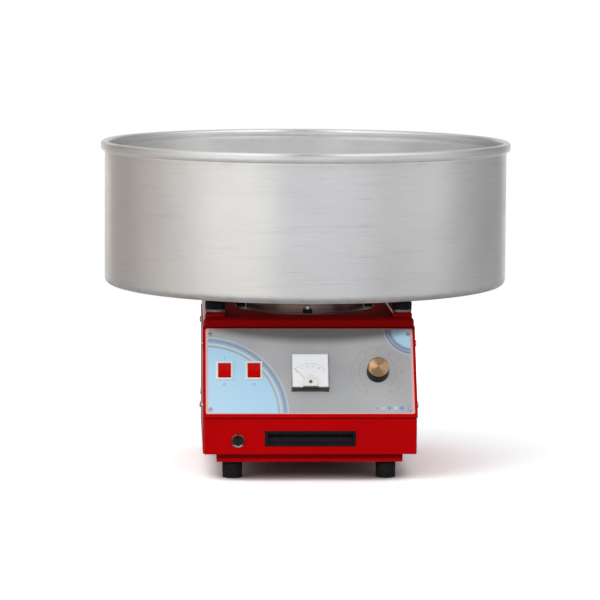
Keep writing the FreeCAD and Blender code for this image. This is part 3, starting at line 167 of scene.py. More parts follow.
class Finish:
    """A finish built up in layers: colour, gloss and relief."""

    def __init__(self, name, colours, patch, gloss, grain, edge, **constants):
        """colours and gloss are pairs that the finish varies between, in patches of about that size.
        grain is the size of its relief in metres and its depth in millimetres; edge is a radius."""
        self.material = bpy.data.materials.new(name)
        self.material.use_nodes = True
        self.tree = self.material.node_tree
        self.shader = self.tree.nodes["Principled BSDF"]
        for socket, value in constants.items():
            self.shader.inputs[socket.replace("_", " ")].default_value = value
        self.edges = self.use(soft_edges, Radius=edge)
        patches = self.blotches(Size=patch, Low=0.3, High=0.7)
        self.colour = (*colours[0], 1.0)
        self.lay(patches, colours[1])
        smears = self.blotches(Size=patch * 0.6, Low=0.35, High=0.65, Shift=7.0)
        self.roughness = gloss[0]
        self.dull(smears, gloss[1])
        relief = {"Strength": 1.0, "Distance": 0.001, "Normal": self.edges["Normal"]}
        self.bump = add(self.tree, "Bump", relief)
        self.tree.links.new(self.bump.outputs["Normal"], self.shader.inputs["Normal"])
        self.height = 0.0
        self.raise_by(self.use(grain_relief, Size=grain[0], Depth=grain[1])["Height"])

    def use(self, group, **values):
        return add(self.tree, "Group", values, node_tree=group).outputs

    def blotches(self, **values):
        return self.use(mottle, **values)["Mask"]

    def lay(self, mask, colour, amount=1.0):
        """Lays a colour over what is there, by this amount where the mask is 1."""
        if amount != 1.0:
            mask = times(self.tree, mask, amount)
        mix = self.tree.nodes.new("ShaderNodeMix")
        mix.data_type = "RGBA"
        for socket, value in ((0, mask), (6, self.colour), (7, (*colour, 1.0))):
            if isinstance(value, bpy.types.NodeSocket):
                self.tree.links.new(value, mix.inputs[socket])
            else:
                mix.inputs[socket].default_value = value
        self.colour = mix.outputs[2]
        self.tree.links.new(self.colour, self.shader.inputs["Base Color"])

    def spot(self, colour, amount=1.0, **values):
        self.lay(self.blotches(**values), colour, amount)

    def dust(self, colour, **values):
        self.lay(self.use(settled_dust, **values)["Mask"], colour)

    def dull(self, mask, roughness, amount=1.0):
        """Brings the roughness to this, by this amount where the mask is 1."""
        if amount != 1.0:
            mask = times(self.tree, mask, amount)
        mix = add(self.tree, "Mix", {0: mask, 2: self.roughness, 3: roughness})
        self.roughness = mix.outputs[0]
        self.tree.links.new(self.roughness, self.shader.inputs["Roughness"])

    def raise_by(self, height):
        """Adds relief, in millimetres."""
        self.height = calc(self.tree, "ADD", self.height, height)
        self.tree.links.new(self.height, self.bump.inputs["Height"])


def dress(finish, *names):
    """Gives pieces of the frame their finish."""
    for name in names:
        materials = frame["nodes"][name].data.materials
        materials.clear()
        materials.append(finish.material)


soft_edges = soft_edges_group()
mottle = mottle_group()
grain_relief = grain_group()
settled_dust = settled_dust_group()

red_enamel = Finish("red_enamel", [(0.48, 0.0006, 0.0022), (0.44, 0.0005, 0.0018)], 0.09, (0.24, 0.36),
                    (0.0016, 0.003), 0.0006, Specular_IOR_Level=0.55, Specular_Tint=(1.0, 0.08, 0.07, 1.0))
red_enamel.raise_by(red_enamel.use(grain_relief, Size=0.09, Depth=0.12)["Height"])
rubbed = times(red_enamel.tree, red_enamel.edges["Edge"],
              red_enamel.blotches(Size=0.012, Low=0.5, High=0.66, Shift=3.0))
red_enamel.lay(rubbed, (0.60, 0.14, 0.13), 0.45)
red_enamel.dull(rubbed, 0.5)
red_enamel.dust((0.42, 0.24, 0.22), Amount=0.08)
red_enamel.dull(spread(red_enamel.tree, facing_up(red_enamel.tree), 0.75, 0.98), 0.85)
dress(red_enamel, "base_tray")


# ---- Feet
# Four moulded rubber feet with a recess for the screw. The rubber is matt black, greyed by dust and floors,
# and it is scuffed along the bottom edge.

black_rubber = Finish("black_rubber", [(0.008, 0.007, 0.007), (0.013, 0.012, 0.012)], 0.008, (0.55, 0.75),
                      (0.0005, 0.02), 0.0008, Specular_IOR_Level=0.15)
black_rubber.lay(black_rubber.edges["Edge"], (0.06, 0.057, 0.055), 0.25)
black_rubber.dust((0.16, 0.15, 0.14), Amount=0.3, Size=0.006)
dress(black_rubber, "rubber_feet")


# ---- Screws and nuts
# Steel screws and nuts, bright zinc plated. The plating is slightly blue, and clouded where fingers and
# drivers have been.

bright_zinc = Finish("bright_zinc", [(0.60, 0.61, 0.63), (0.48, 0.49, 0.50)], 0.002, (0.24, 0.42),
                     (0.0003, 0.004), 0.0002, Metallic=1.0)
bright_zinc.spot((0.36, 0.35, 0.33), Size=0.0012, Low=0.58, High=0.7, Shift=5.0)
dress(bright_zinc, "foot_fasteners", "shell_screws", "overlay_screws")


# ---- Casing panels
# Side panels, rear panel with louvres, deck cover, deck rails and the slanted fascia: folded steel sheets,
# screwed together through their flanges and sprayed with the same red enamel.

dress(red_enamel, "side_panel_left", "side_panel_right", "rear_panel", "deck_cover", "deck_rail_left",
      "deck_rail_right", "control_fascia")


# ---- Chassis shelf and drawer runners
# Hot-dip galvanised sheet, left bare because it is out of sight. The zinc froze in flat crystals, each with
# its own grey.

def spangle_group():
    """Crystals of zinc: a shade for each, and a mask of their borders."""
    group, given, out = new_group("zinc_spangle", {"Size": 0.008}, {"Shade": "Float", "Border": "Float"})
    place = position(group)
    scale = calc(group, "DIVIDE", 1.0, given["Size"])
    cells = add(group, "TexVoronoi", {"Vector": place, "Scale": scale})
    seams = add(group, "TexVoronoi", {"Vector": place, "Scale": scale}, feature="DISTANCE_TO_EDGE")
    shade = add(group, "SeparateColor", {0: cells.outputs["Color"]}).outputs[0]
    group.links.new(shade, out["Shade"])
    group.links.new(spread(group, seams.outputs["Distance"], 0.05, 0.0), out["Border"])
    return group


zinc_spangle = spangle_group()
galvanised = Finish("galvanised", [(0.50, 0.51, 0.52), (0.42, 0.43, 0.44)], 0.05, (0.38, 0.5),
                    (0.002, 0.004), 0.0003, Metallic=0.9)
crystals = galvanised.use(zinc_spangle, Size=0.009)
galvanised.lay(crystals["Shade"], (0.62, 0.63, 0.64), 0.7)
galvanised.lay(crystals["Border"], (0.30, 0.31, 0.32), 0.5)
galvanised.dull(crystals["Shade"], 0.3)
dress(galvanised, "chassis_shelf", "drawer_runners")


# ---- Motor
# A totally enclosed motor hung under the deck on four studs with rubber spacers. Its case is cast, with
# baked black enamel over the rough skin of the casting; the plate above it is galvanised.

motor_enamel = Finish("motor_enamel", [(0.028, 0.028, 0.031), (0.042, 0.042, 0.044)], 0.03, (0.32, 0.48),
                      (0.0018, 0.05), 0.001, Coat_Weight=0.2, Coat_Roughness=0.2)
motor_enamel.dust((0.2, 0.19, 0.18), Amount=0.5)
dress(motor_enamel, "motor")
dress(galvanised, "motor_plate")
dress(bright_zinc, "motor_studs")
dress(black_rubber, "motor_spacers")


# ---- Stud nuts and moulded black parts
# Black moulded nylon, with the fine spark-eroded texture of its mould and a slightly shiny edge where it
# has been handled.

black_nylon = Finish("black_nylon", [(0.010, 0.009, 0.013), (0.015, 0.013, 0.018)], 0.01, (0.36, 0.48),
                     (0.00035, 0.010), 0.0004, Specular_IOR_Level=0.2)
black_nylon.dull(black_nylon.edges["Edge"], 0.25)
black_nylon.dust((0.12, 0.115, 0.11), Amount=0.3, Size=0.008)
dress(black_nylon, "stud_nuts", "cable_gland")


# ---- Collar
# Pressed steel sheet round the shaft and the brushes, held by the nuts of the motor's studs. It was finished
# in a lathe, so fine lines run round it. Its dark brown colour is painted shade from the bowl above it, and
# near the top the heat of the head has tinted it a yellower brown.

def turned_lines_group():
    """Fine grooves round an axis: their relief in millimetres, and a shade that varies from ring to ring."""
    start = {"Centre": (0.0, 0.0, 0.0), "Axis": (0.0, 0.0, 1.0), "Pitch": 0.0004, "Depth": 0.004,
             "Climb": 1.0}
    group, given, out = new_group("turned_lines", start, {"Height": "Float", "Shade": "Float"})
    place = position(group)
    arm = vector_calc(group, "SUBTRACT", place, given["Centre"])
    along = measure(group, "DOT_PRODUCT", arm, given["Axis"])
    on_axis = add(group, "VectorMath", {0: given["Axis"], "Scale": along}, operation="SCALE")
    out_from_axis = vector_calc(group, "SUBTRACT", arm, on_axis.outputs["Vector"])
    travel = calc(group, "ADD", measure(group, "LENGTH", out_from_axis),
                  times(group, along, given["Climb"]))
    turns = calc(group, "DIVIDE", travel, given["Pitch"])
    fine = add(group, "TexNoise", {"W": turns, "Scale": 1.0, "Detail": 1.0}, noise_dimensions="1D")
    broad = add(group, "TexNoise", {"W": turns, "Scale": 0.13, "Detail": 3.0}, noise_dimensions="1D")
    group.links.new(times(group, fine.outputs[0], given["Depth"]), out["Height"])
    group.links.new(spread(group, broad.outputs[0], 0.35, 0.65), out["Shade"])
    return group


def turned(finish, colour, amount, **values):
    """Gives a finish the grooves of a lathe, some of them in another colour."""
    lines = finish.use(turned_lines, **values)
    finish.raise_by(lines["Height"])
    finish.lay(lines["Shade"], colour, amount)


turned_lines = turned_lines_group()
collar_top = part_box("collar")[1].z
# painted shade: the collar's dark brown base colour stands in for the shade under the bowl
collar_steel = Finish("collar_steel", [(0.22, 0.15, 0.135), (0.17, 0.11, 0.10)], 0.05, (0.30, 0.42),
                      (0.0006, 0.002), 0.0005, Metallic=1.0)
turned(collar_steel, (0.28, 0.20, 0.18), 0.4, Pitch=0.0005, Depth=0.006)
browned = spread(collar_steel.tree, coordinate(collar_steel.tree, "Z"), collar_top - 0.018, collar_top,
                 0.0, 0.5)
collar_steel.lay(browned, (0.30, 0.22, 0.13))
dress(collar_steel, "collar")


# ---- Brush holder and carbon brushes
# The brushes press on the slip rings from a block of brown paper laminate, sawn to size, so its layers show.
# The carbon is matt and smooth, with a faint sheen where it slides.

laminate = Finish("laminate", [(0.19, 0.085, 0.035), (0.13, 0.06, 0.028)], 0.006, (0.4, 0.55),
                  (0.0008, 0.01), 0.0003)
layers = laminate.use(grain_relief, Size=0.004, Depth=1.0, Stretch=(0.3, 0.3, 9.0))["Height"]
laminate.lay(spread(laminate.tree, layers, 0.45, 0.6, 0.0, 0.6), (0.30, 0.16, 0.07))
dress(laminate, "brush_holder", "slip_ring_hub")

carbon = Finish("carbon", [(0.028, 0.028, 0.029), (0.045, 0.045, 0.045)], 0.003, (0.3, 0.5),
                (0.0003, 0.006), 0.0003)
carbon.spot((0.11, 0.11, 0.11), Size=0.0007, Low=0.62, High=0.7, Shift=2.0)
dress(carbon, "carbon_brushes")


# ---- Control panel print
# A grey polycarbonate film, printed on its back and glued to the fascia: two quarter rounds of light blue
# with rings round them and a row of dots. A pale pink margin round its edge is a painted highlight. Its face
# has a fine satin texture.

knob_turn = next(joint for joint in frame["joints"] if joint["name"] == "knob_turn")
PANEL_OUT = Vector(knob_turn["axis"]).normalized()
PANEL_RIGHT = Vector((1.0, 0.0, 0.0))
PANEL_UP = PANEL_OUT.cross(PANEL_RIGHT)
film_low, film_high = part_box("panel_overlay")
film_thickness, print_edge = 0.0005, 0.0001
film_face = (film_low + film_high) / 2 + PANEL_OUT * film_thickness / 2
film_half_width = (film_high.x - film_low.x) / 2
film_half_height = (film_high.z - film_low.z - film_thickness * PANEL_OUT.z) / (2 * PANEL_UP.z)


def middle_of(name):
    """The middle of a piece."""
    low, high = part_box(name)
    return (low + high) / 2


def panel_place(tree):
    """How far right and up the panel a point is from its middle, as two sockets."""
    place = position(tree)
    arm = vector_calc(tree, "SUBTRACT", place, tuple(film_face))
    return (measure(tree, "DOT_PRODUCT", arm, tuple(PANEL_RIGHT)),
            measure(tree, "DOT_PRODUCT", arm, tuple(PANEL_UP)))


def away_from(tree, right, up, x, y):
    """Distance on the panel from the point x, y."""
    offset = add(tree, "CombineXYZ", {0: calc(tree, "SUBTRACT", right, x), 1: calc(tree, "SUBTRACT", up, y)})
    return measure(tree, "LENGTH", offset.outputs[0])


def within(tree, distance, reach):
    """1 where the distance is less than reach, and 0 beyond it."""
    return spread(tree, distance, reach + print_edge, reach - print_edge)


def line_mask(tree, distance, radius, width):
    """1 on a line of this width at this distance."""
    return within(tree, calc(tree, "ABSOLUTE", calc(tree, "SUBTRACT", distance, radius)), width / 2)


def film_edge_highlight(film, right, up):
    """A painted highlight along the film's edge: a pale pink margin with rounded inner corners, wider at the
    sides than above and below.
    """
    tree = film.tree
    side, end, corner = 0.0031, 0.0013, 0.003
    across = calc(tree, "SUBTRACT", calc(tree, "ABSOLUTE", right), film_half_width - side - corner)
    along = calc(tree, "SUBTRACT", calc(tree, "ABSOLUTE", up), film_half_height - end - corner)
    outside = add(tree, "CombineXYZ", {0: calc(tree, "MAXIMUM", across, 0.0),
                                       1: calc(tree, "MAXIMUM", along, 0.0)}).outputs[0]
    inside = calc(tree, "MINIMUM", calc(tree, "MAXIMUM", across, along), 0.0)
    distance = calc(tree, "ADD", measure(tree, "LENGTH", outside), inside)
    film.lay(spread(tree, distance, corner - print_edge, corner + print_edge), (0.70, 0.43, 0.43))


def print_quarter_round(film, right, up, x, y, radius, rings):
    """A quarter round of light blue about a corner of the film, paler towards the corner, with rings."""
    tree = film.tree
    distance = away_from(tree, right, up, x, y)
    fade = spread(tree, distance, 0.0, radius, 0.45, 1.0)
    inside = within(tree, distance, radius)
    film.lay(inside, (0.52, 0.71, 0.85))
    film.lay(times(tree, inside, fade), (0.42, 0.66, 0.84))
    for gap, width, colour in rings:
        film.lay(line_mask(tree, distance, radius + gap, width), colour)


film = Finish("printed_film", [(0.445, 0.45, 0.46), (0.385, 0.39, 0.40)], 0.08, (0.36, 0.44),
              (0.0006, 0.004), 0.0003, Specular_IOR_Level=0.4)
film_right, film_up = panel_place(film.tree)
sky_blue, mid_blue, violet = (0.42, 0.66, 0.84), (0.12, 0.32, 0.58), (0.24, 0.19, 0.42)
print_quarter_round(film, film_right, film_up, -film_half_width, -film_half_height, 0.088,
                    [(0.0042, 0.0030, sky_blue), (0.0094, 0.0016, mid_blue), (0.0130, 0.0008, sky_blue)])
print_quarter_round(film, film_right, film_up, film_half_width, film_half_height, 0.026,
                    [(0.0030, 0.0022, mid_blue), (0.0066, 0.0014, violet), (0.0096, 0.0008, sky_blue)])
dots, dot_spacing, dot_inset, dot_size, dot_step = 6, 0.0075, 0.016, 0.0026, 0.00034
for i in range(dots):
    spot = away_from(film.tree, film_right, film_up, film_half_width - dot_inset - dot_spacing * i,
                     -film_half_height + dot_spacing)
    film.lay(within(film.tree, spot, dot_size - dot_step * i), sky_blue if i % 2 else mid_blue)
# painted highlight: a pale pink margin along the film's edge
film_edge_highlight(film, film_right, film_up)
dress(film, "panel_overlay")


# ---- Panel numbers and marks
# Screen-printed in thin ink on top of the film: a dial of ticks and numbers for the heat knob, and a line and
# a ring at the two ends of each rocker switch, for on and off.

def on_panel(right, up, out=0.0):
    """A point of the panel, from the middle of its film."""
    return film_face + PANEL_RIGHT * right + PANEL_UP * up + PANEL_OUT * out


def panel_xy(place):
    """How far right and up from the middle of the film a point in space is."""
    return (place - film_face).dot(PANEL_RIGHT), (place - film_face).dot(PANEL_UP)


def new_object(name, data):
    """An object in the scene."""
    made = bpy.data.objects.new(name, data)
    bpy.context.scene.collection.objects.link(made)
    return made


class Print:
    """Ink shapes gathered into one piece. Each shape is an outline of (right, up) points."""

    def __init__(self, level, thickness):
        self.mesh = bmesh.new()
        self.level = level
        self.top = level + thickness

    def shape(self, outline):
        low = [self.mesh.verts.new(on_panel(x, y, self.level)) for x, y in outline]
        high = [self.mesh.verts.new(on_panel(x, y, self.top)) for x, y in outline]
        self.mesh.faces.new(low[::-1])
        self.mesh.faces.new(high)
        for i in range(len(outline)):
            j = (i + 1) % len(outline)
            self.mesh.faces.new((low[i], low[j], high[j], high[i]))

    def stroke(self, x0, y0, x1, y1, width):
        length = math.hypot(x1 - x0, y1 - y0)
        dx, dy = (y1 - y0) / length * width / 2, (x0 - x1) / length * width / 2
        self.shape([(x0 + dx, y0 + dy), (x1 + dx, y1 + dy), (x1 - dx, y1 - dy), (x0 - dx, y0 - dy)])

    def arc(self, x, y, radius, width, first, last):
        """An arc whose angles are in degrees, anticlockwise from the right."""
        steps = max(6, round(abs(last - first) / 4))
        for i in range(steps):
            corners = []
            for j, r in ((i, radius - width / 2), (i, radius + width / 2), (i + 1, radius + width / 2),
                         (i + 1, radius - width / 2)):
                angle = math.radians(first + (last - first) * j / steps)
                corners.append((x + r * math.cos(angle), y + r * math.sin(angle)))
            self.shape(corners)

    def graduate(self, x, y, radius, first, sweep, numbers, worth, long, short, width, number_out,
                 number_size):
        """Ticks on an arc, five to each number. number_out is how far the numbers are outside the arc."""
        for step in range(numbers * 5 + 1):
            angle = math.radians(first + sweep * step / (numbers * 5))
            start, end = radius, radius + (long if step % 5 == 0 else short)
            self.stroke(x + start * math.cos(angle), y + start * math.sin(angle),
                        x + end * math.cos(angle), y + end * math.sin(angle), width)
            if step % 5 == 0:
                far = radius + number_out
                self.number(str(step // 5 * worth), x + far * math.cos(angle), y + far * math.sin(angle),
                            number_size)

    def number(self, text, x, y, size):
        curve = bpy.data.curves.new("number", "FONT")
        curve.body, curve.size, curve.align_x, curve.align_y = text, size, "CENTER", "CENTER"
        curve.extrude = (self.top - self.level) / 2
        curve.resolution_u = 3
        writer = bpy.data.objects.new("number", curve)
        letters = bpy.data.meshes.new_from_object(writer)
        middle = (self.level + self.top) / 2
        for vertex in letters.vertices:
            vertex.co = on_panel(x + vertex.co.x, y + vertex.co.y, middle + vertex.co.z)
        self.mesh.from_mesh(letters)
        bpy.data.objects.remove(writer)
        bpy.data.meshes.remove(letters)

    def piece(self, name, finish, body):
        data = bpy.data.meshes.new(name)
        bmesh.ops.remove_doubles(self.mesh, verts=self.mesh.verts, dist=1e-7)
        bmesh.ops.recalc_face_normals(self.mesh, faces=self.mesh.faces)
        self.mesh.to_mesh(data)
        data.materials.append(finish.material)
        made = new_object(name, data)
        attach(made, body)
        return made


ink_level, ink_thickness = 0.00001, 0.00003
dial_ink = Finish("dial_ink", [(0.42, 0.25, 0.26), (0.43, 0.30, 0.31)], 0.004, (0.45, 0.6),
                  (0.0004, 0.002), 0.00005)
knob_axis = middle_of("knob_cap")
dial_x, dial_y = panel_xy(knob_axis)
dial_radius, dial_first, dial_sweep = 0.0228, 240, -300
dial_rim, dial_rim_gap = 0.0326, 20
dial = Print(ink_level, ink_thickness)
dial.arc(dial_x, dial_y, dial_radius, 0.0004, dial_first, dial_first + dial_sweep)
dial.arc(dial_x, dial_y, dial_rim, 0.0005, dial_first + dial_rim_gap, dial_first + dial_sweep - dial_rim_gap)
dial.graduate(dial_x, dial_y, dial_radius, dial_first, dial_sweep, numbers=10, worth=1, long=0.0026,
              short=0.0013, width=0.0005, number_out=0.0061, number_size=0.0056)
dial.piece("dial_print", dial_ink, "casing")

grey_ink = Finish("grey_ink", [(0.19, 0.20, 0.22), (0.24, 0.25, 0.27)], 0.004, (0.45, 0.6),
                  (0.0004, 0.002), 0.00005)
marks = Print(ink_level, ink_thickness)
line_low, line_high, ring_down, ring_radius, stroke_width = 0.0160, 0.0192, 0.0178, 0.0016, 0.0005
for rocker in ("rocker_left", "rocker_right"):
    x, y = panel_xy(middle_of(rocker))
    marks.stroke(x, y + line_low, x, y + line_high, stroke_width)
    marks.arc(x, y - ring_down, ring_radius, stroke_width, 0, 360)
marks.piece("switch_marks", grey_ink, "casing")


# ---- Rocker switches
# White moulded frames that snap into the fascia, with glossy red rockers on pins. The rockers are red
# polycarbonate, rubbed a little paler at their edges.

white_nylon = Finish("white_nylon", [(0.80, 0.80, 0.78), (0.74, 0.735, 0.71)], 0.012, (0.28, 0.4),
                     (0.0004, 0.004), 0.0004, Subsurface_Weight=0.08, Subsurface_Scale=0.002)
white_nylon.spot((0.62, 0.60, 0.55), Size=0.004, Low=0.6, High=0.78, Shift=4.0)
dress(white_nylon, "switch_frames", "terminal_block", "meter_base")

rocker_red = Finish("rocker_red", [(0.54, 0.001, 0.002), (0.49, 0.001, 0.001)], 0.01, (0.2, 0.3),
                    (0.0006, 0.001), 0.0004, Specular_IOR_Level=0.3, Specular_Tint=(1.0, 0.3, 0.26, 1.0))
rocker_red.lay(rocker_red.edges["Edge"], (0.62, 0.05, 0.04), 0.3)
dress(rocker_red, "rocker_left", "rocker_right")


# ---- Panel meter
# A moving-iron meter on a white moulded base: a white printed card under a clear cover, an off-white
# half-round moulding over its movement, and a slotted screw that sets the needle to zero.

white_card = Finish("white_card", [(0.93, 0.94, 0.96), (0.91, 0.92, 0.94)], 0.02, (0.5, 0.6),
                    (0.0003, 0.003), 0.0002)
dress(white_card, "meter_scale")

clear_cover = Finish("clear_cover", [(1.0, 1.0, 1.0), (0.985, 0.99, 0.995)], 0.03, (0.02, 0.08),
                     (0.01, 0.003), 0.0006, IOR=1.03, Transmission_Weight=1.0)
# painted shade: the cover's faces that look down, in its lower half, are laid dark brown-grey
cover_normal = add(clear_cover.tree, "NewGeometry", {}).outputs["Normal"]
cover_down = measure(clear_cover.tree, "DOT_PRODUCT", cover_normal, tuple(-PANEL_UP))
cover_height = measure(clear_cover.tree, "DOT_PRODUCT", position(clear_cover.tree), tuple(PANEL_UP))
cover_middle = middle_of("meter_cover").dot(PANEL_UP)
cover_foot = spread(clear_cover.tree, cover_height, cover_middle, cover_middle - 0.008)
clear_cover.lay(times(clear_cover.tree, cover_foot, spread(clear_cover.tree, cover_down, 0.55, 0.85)),
                (0.16, 0.15, 0.14))
dress(clear_cover, "meter_cover")
frame["nodes"]["meter_cover"].visible_shadow = False

grey_moulding = Finish("grey_moulding", [(0.80, 0.80, 0.78), (0.75, 0.75, 0.73)], 0.006, (0.3, 0.42),
                       (0.0004, 0.006), 0.0005)
dress(grey_moulding, "meter_boss")

screw_grey = Finish("screw_grey", [(0.12, 0.12, 0.115), (0.16, 0.16, 0.155)], 0.002, (0.25, 0.4),
                     (0.0003, 0.004), 0.0003)
screw_grey.lay(screw_grey.edges["Edge"], (0.16, 0.16, 0.155), 0.5)
dress(screw_grey, "meter_zero_screw")

needle_red = Finish("needle_red", [(0.64, 0.42, 0.42), (0.58, 0.37, 0.37)], 0.003, (0.3, 0.45),
                    (0.0003, 0.002), 0.0001)
dress(needle_red, "meter_needle")

pivot = Vector(next(joint["pos_m"] for joint in frame["joints"] if joint["name"] == "needle_swing"))
pivot_x, pivot_y = panel_xy(pivot)


# ---- Meter scale print
# Thin grey-blue ink, screen-printed on the card: an arc with ticks over the whole swing of the needle, and
# the numbers inside it.

scale_ink = Finish("scale_ink", [(0.46, 0.48, 0.52), (0.52, 0.53, 0.56)], 0.004, (0.45, 0.6),
                   (0.0003, 0.002), 0.00005)
card = frame["nodes"]["meter_scale"].data
card_face = max((vertex.co - film_face).dot(PANEL_OUT) for vertex in card.vertices)
scale = Print(card_face + 0.00001, ink_thickness)
scale_radius, scale_first, scale_sweep = 0.0265, 134, -88
scale.arc(pivot_x, pivot_y, scale_radius, 0.00025, scale_first, scale_first + scale_sweep)
scale.graduate(pivot_x, pivot_y, scale_radius, scale_first, scale_sweep, numbers=5, worth=50, long=0.0024,
               short=0.0013, width=0.00028, number_out=-0.0035, number_size=0.0030)
scale.piece("scale_print", scale_ink, "casing")


# ---- Heat knob
# A fluted black phenolic knob with a brass disc set in its top. The disc is faced in a lathe, so its grooves
# throw the light out in two bright wedges; the knob is pushed on the potentiometer's shaft.

black_phenolic = Finish("black_phenolic", [(0.004, 0.0035, 0.0035), (0.008, 0.007, 0.007)], 0.006,
                        (0.34, 0.48), (0.0004, 0.003), 0.0004, Specular_IOR_Level=0.12)
dress(black_phenolic, "knob_body")

spun_brass = Finish("spun_brass", [(0.66, 0.42, 0.25), (0.54, 0.30, 0.15)], 0.008, (0.28, 0.32),
                    (0.0004, 0.001), 0.0003, Metallic=1.0, Anisotropic=0.9)
turned(spun_brass, (0.66, 0.44, 0.28), 0.4, Centre=tuple(knob_axis), Axis=tuple(PANEL_OUT), Pitch=0.00028,
       Depth=0.002, Climb=0.0)
brass_arm = vector_calc(spun_brass.tree, "SUBTRACT", position(spun_brass.tree), tuple(knob_axis))
spun_brass.tree.links.new(brass_arm, spun_brass.shader.inputs["Tangent"])
dress(spun_brass, "knob_cap")
dress(bright_zinc, "knob_shaft", "potentiometer")


# ---- Heat-control electronics
# A green circuit board on posts with a capacitor and a choke, a finned black heat sink for the switching
# device, and a terminal block, all on the shelf.

board_green = Finish("board_green", [(0.018, 0.13, 0.045), (0.014, 0.10, 0.036)], 0.01, (0.2, 0.35),
                     (0.0006, 0.008), 0.0002, Coat_Weight=0.4, Coat_Roughness=0.1)
tracks = {"Vector": position(board_green.tree), "Scale": 160.0, "Mortar Size": 0.03}
board_green.lay(add(board_green.tree, "TexBrick", tracks).outputs["Fac"], (0.05, 0.24, 0.08), 0.5)
dress(board_green, "control_board")

black_anodised = Finish("black_anodised", [(0.022, 0.022, 0.025), (0.034, 0.034, 0.036)], 0.02, (0.3, 0.42),
                        (0.0005, 0.004), 0.0003, Metallic=0.7)
black_anodised.lay(black_anodised.edges["Edge"], (0.3, 0.3, 0.3), 0.5)
dress(black_anodised, "heat_sink")


# ---- Bowl mounts
# Four waisted rubber buffers, each with a dulled steel washer under it and a zinc-plated stud through it.
# The washers are painted dark and warm, a painted shade from the bowl above them.
# They stand on the deck rails and carry the bowl, and they keep the motor's shake out of it.

dress(black_rubber, "bowl_mounts")
dress(bright_zinc, "mount_studs")

# painted shade: the washers' dark, warm colour stands in for the shade under the bowl
washer_painted_shade = Finish("washer_painted_shade", [(0.26, 0.19, 0.18), (0.20, 0.14, 0.13)], 0.006, (0.35, 0.5),
                      (0.0004, 0.006), 0.0003, Metallic=1.0)
dress(washer_painted_shade, "mount_washers")


# ---- Bowl wall
# A strip of 1.2 mm aluminium rolled into a hoop, its top edge curled round a wire and pressed a little flat,
# its lower edge turned in. Rolling leaves lines round it, and use a few shallow dents.

wall_low, wall_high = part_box("bowl_wall")
wall_radius, wall_sheet, wall_bend = 0.255, 0.0012, 0.008
bead_radius, bead_flat = 0.0045, 0.0036
bead_ring = wall_high.x - bead_radius
bead_height = wall_high.z - bead_radius
bead_low = bead_height - bead_flat


def bowl_outline():
    """The wall's section, anticlockwise from the outside of its turned-in edge, as (radius, height)."""
    points = []
    bends, rows = 8, 60
    start = wall_radius - wall_bend
    for i in range(bends + 1):
        angle = math.radians(-90 + 90 * i / bends)
        points.append((start + wall_bend * math.cos(angle), wall_low.z + wall_bend * (1 + math.sin(angle))))
    outer_join = math.acos((wall_radius - bead_ring) / bead_radius)
    inner_join = math.acos((wall_radius - wall_sheet - bead_ring) / bead_radius)
    low, high = wall_low.z + wall_bend, bead_low - bead_radius * math.sin(outer_join)
    for i in range(1, rows):
        points.append((wall_radius, low + (high - low) * i / rows))
    for middle, first, last, turns in ((bead_low, -outer_join, 0, 9), (bead_height, 0, math.pi, 16),
                                       (bead_low, math.pi, 2 * math.pi - inner_join, 7)):
        for i in range(turns + 1):
            angle = first + (last - first) * i / turns
            points.append((bead_ring + bead_radius * math.cos(angle), middle + bead_radius * math.sin(angle)))
    high = bead_low - bead_radius * math.sin(inner_join)
    for i in range(rows - 1, 0, -1):
        points.append((wall_radius - wall_sheet, low + (high - low) * i / rows))
    for i in range(bends, -1, -1):
        angle = math.radians(-90 + 90 * i / bends)
        inner = wall_bend - wall_sheet
        points.append((start + inner * math.cos(angle),
                       wall_low.z + wall_sheet + inner * (1 + math.sin(angle))))
    return points


def revolved(outline, turns):
    """A ring of quads made by turning a closed outline about the Z axis."""
    made = bmesh.new()
    rings = []
    for i in range(turns):
        angle = 2 * math.pi * i / turns
        rings.append([made.verts.new((r * math.cos(angle), r * math.sin(angle), z)) for r, z in outline])
    for i in range(turns):
        here, after = rings[i], rings[(i + 1) % turns]
        for j in range(len(outline)):
            k = (j + 1) % len(outline)
            made.faces.new((here[j], after[j], after[k], here[k]))
    return made


def pushed_in(angle, height):
    """How far the wall is out of its true circle: an even wander, and the dents."""
    up = (height - wall_low.z) / (wall_high.z - wall_low.z)
    free = math.sin(math.pi * min(max((up - 0.04) / 0.92, 0.0), 1.0))
    wander = 0.5 + 0.25 * math.cos(2 * angle + 0.7) + 0.25 * math.cos(3 * angle + 2.1)
    push = out_of_round * wander * up
    for dent_angle, dent_height, width, depth in dents:
        around = (angle - dent_angle + math.pi) % (2 * math.pi) - math.pi
        distance = (around * wall_radius / width) ** 2 + ((height - dent_height) / (0.7 * width)) ** 2
        if distance < 9:
            push += depth * free * math.exp(-distance)
    return push


out_of_round, dent_count, wall_facets = 0.0006, 46, 480
random.seed(7)
dents = []
for i in range(dent_count):
    dents.append((random.uniform(0, 2 * math.pi), random.uniform(wall_low.z + 0.02, wall_high.z - 0.02),
                  random.uniform(0.006, 0.028), random.uniform(-0.00012, 0.0003)))
wall = revolved(bowl_outline(), wall_facets)
for vertex in wall.verts:
    radius = math.hypot(vertex.co.x, vertex.co.y)
    factor = 1 - pushed_in(math.atan2(vertex.co.y, vertex.co.x), vertex.co.z) / radius
    vertex.co.x *= factor
    vertex.co.y *= factor
bmesh.ops.recalc_face_normals(wall, faces=wall.faces)
wall_mesh = bpy.data.meshes.new("spun_wall")
wall.to_mesh(wall_mesh)
wall_mesh.polygons.foreach_set("use_smooth", [True] * len(wall_mesh.polygons))
wall_mesh.set_sharp_from_angle(angle=math.radians(50))
bowl_skin = new_object("spun_wall", wall_mesh)

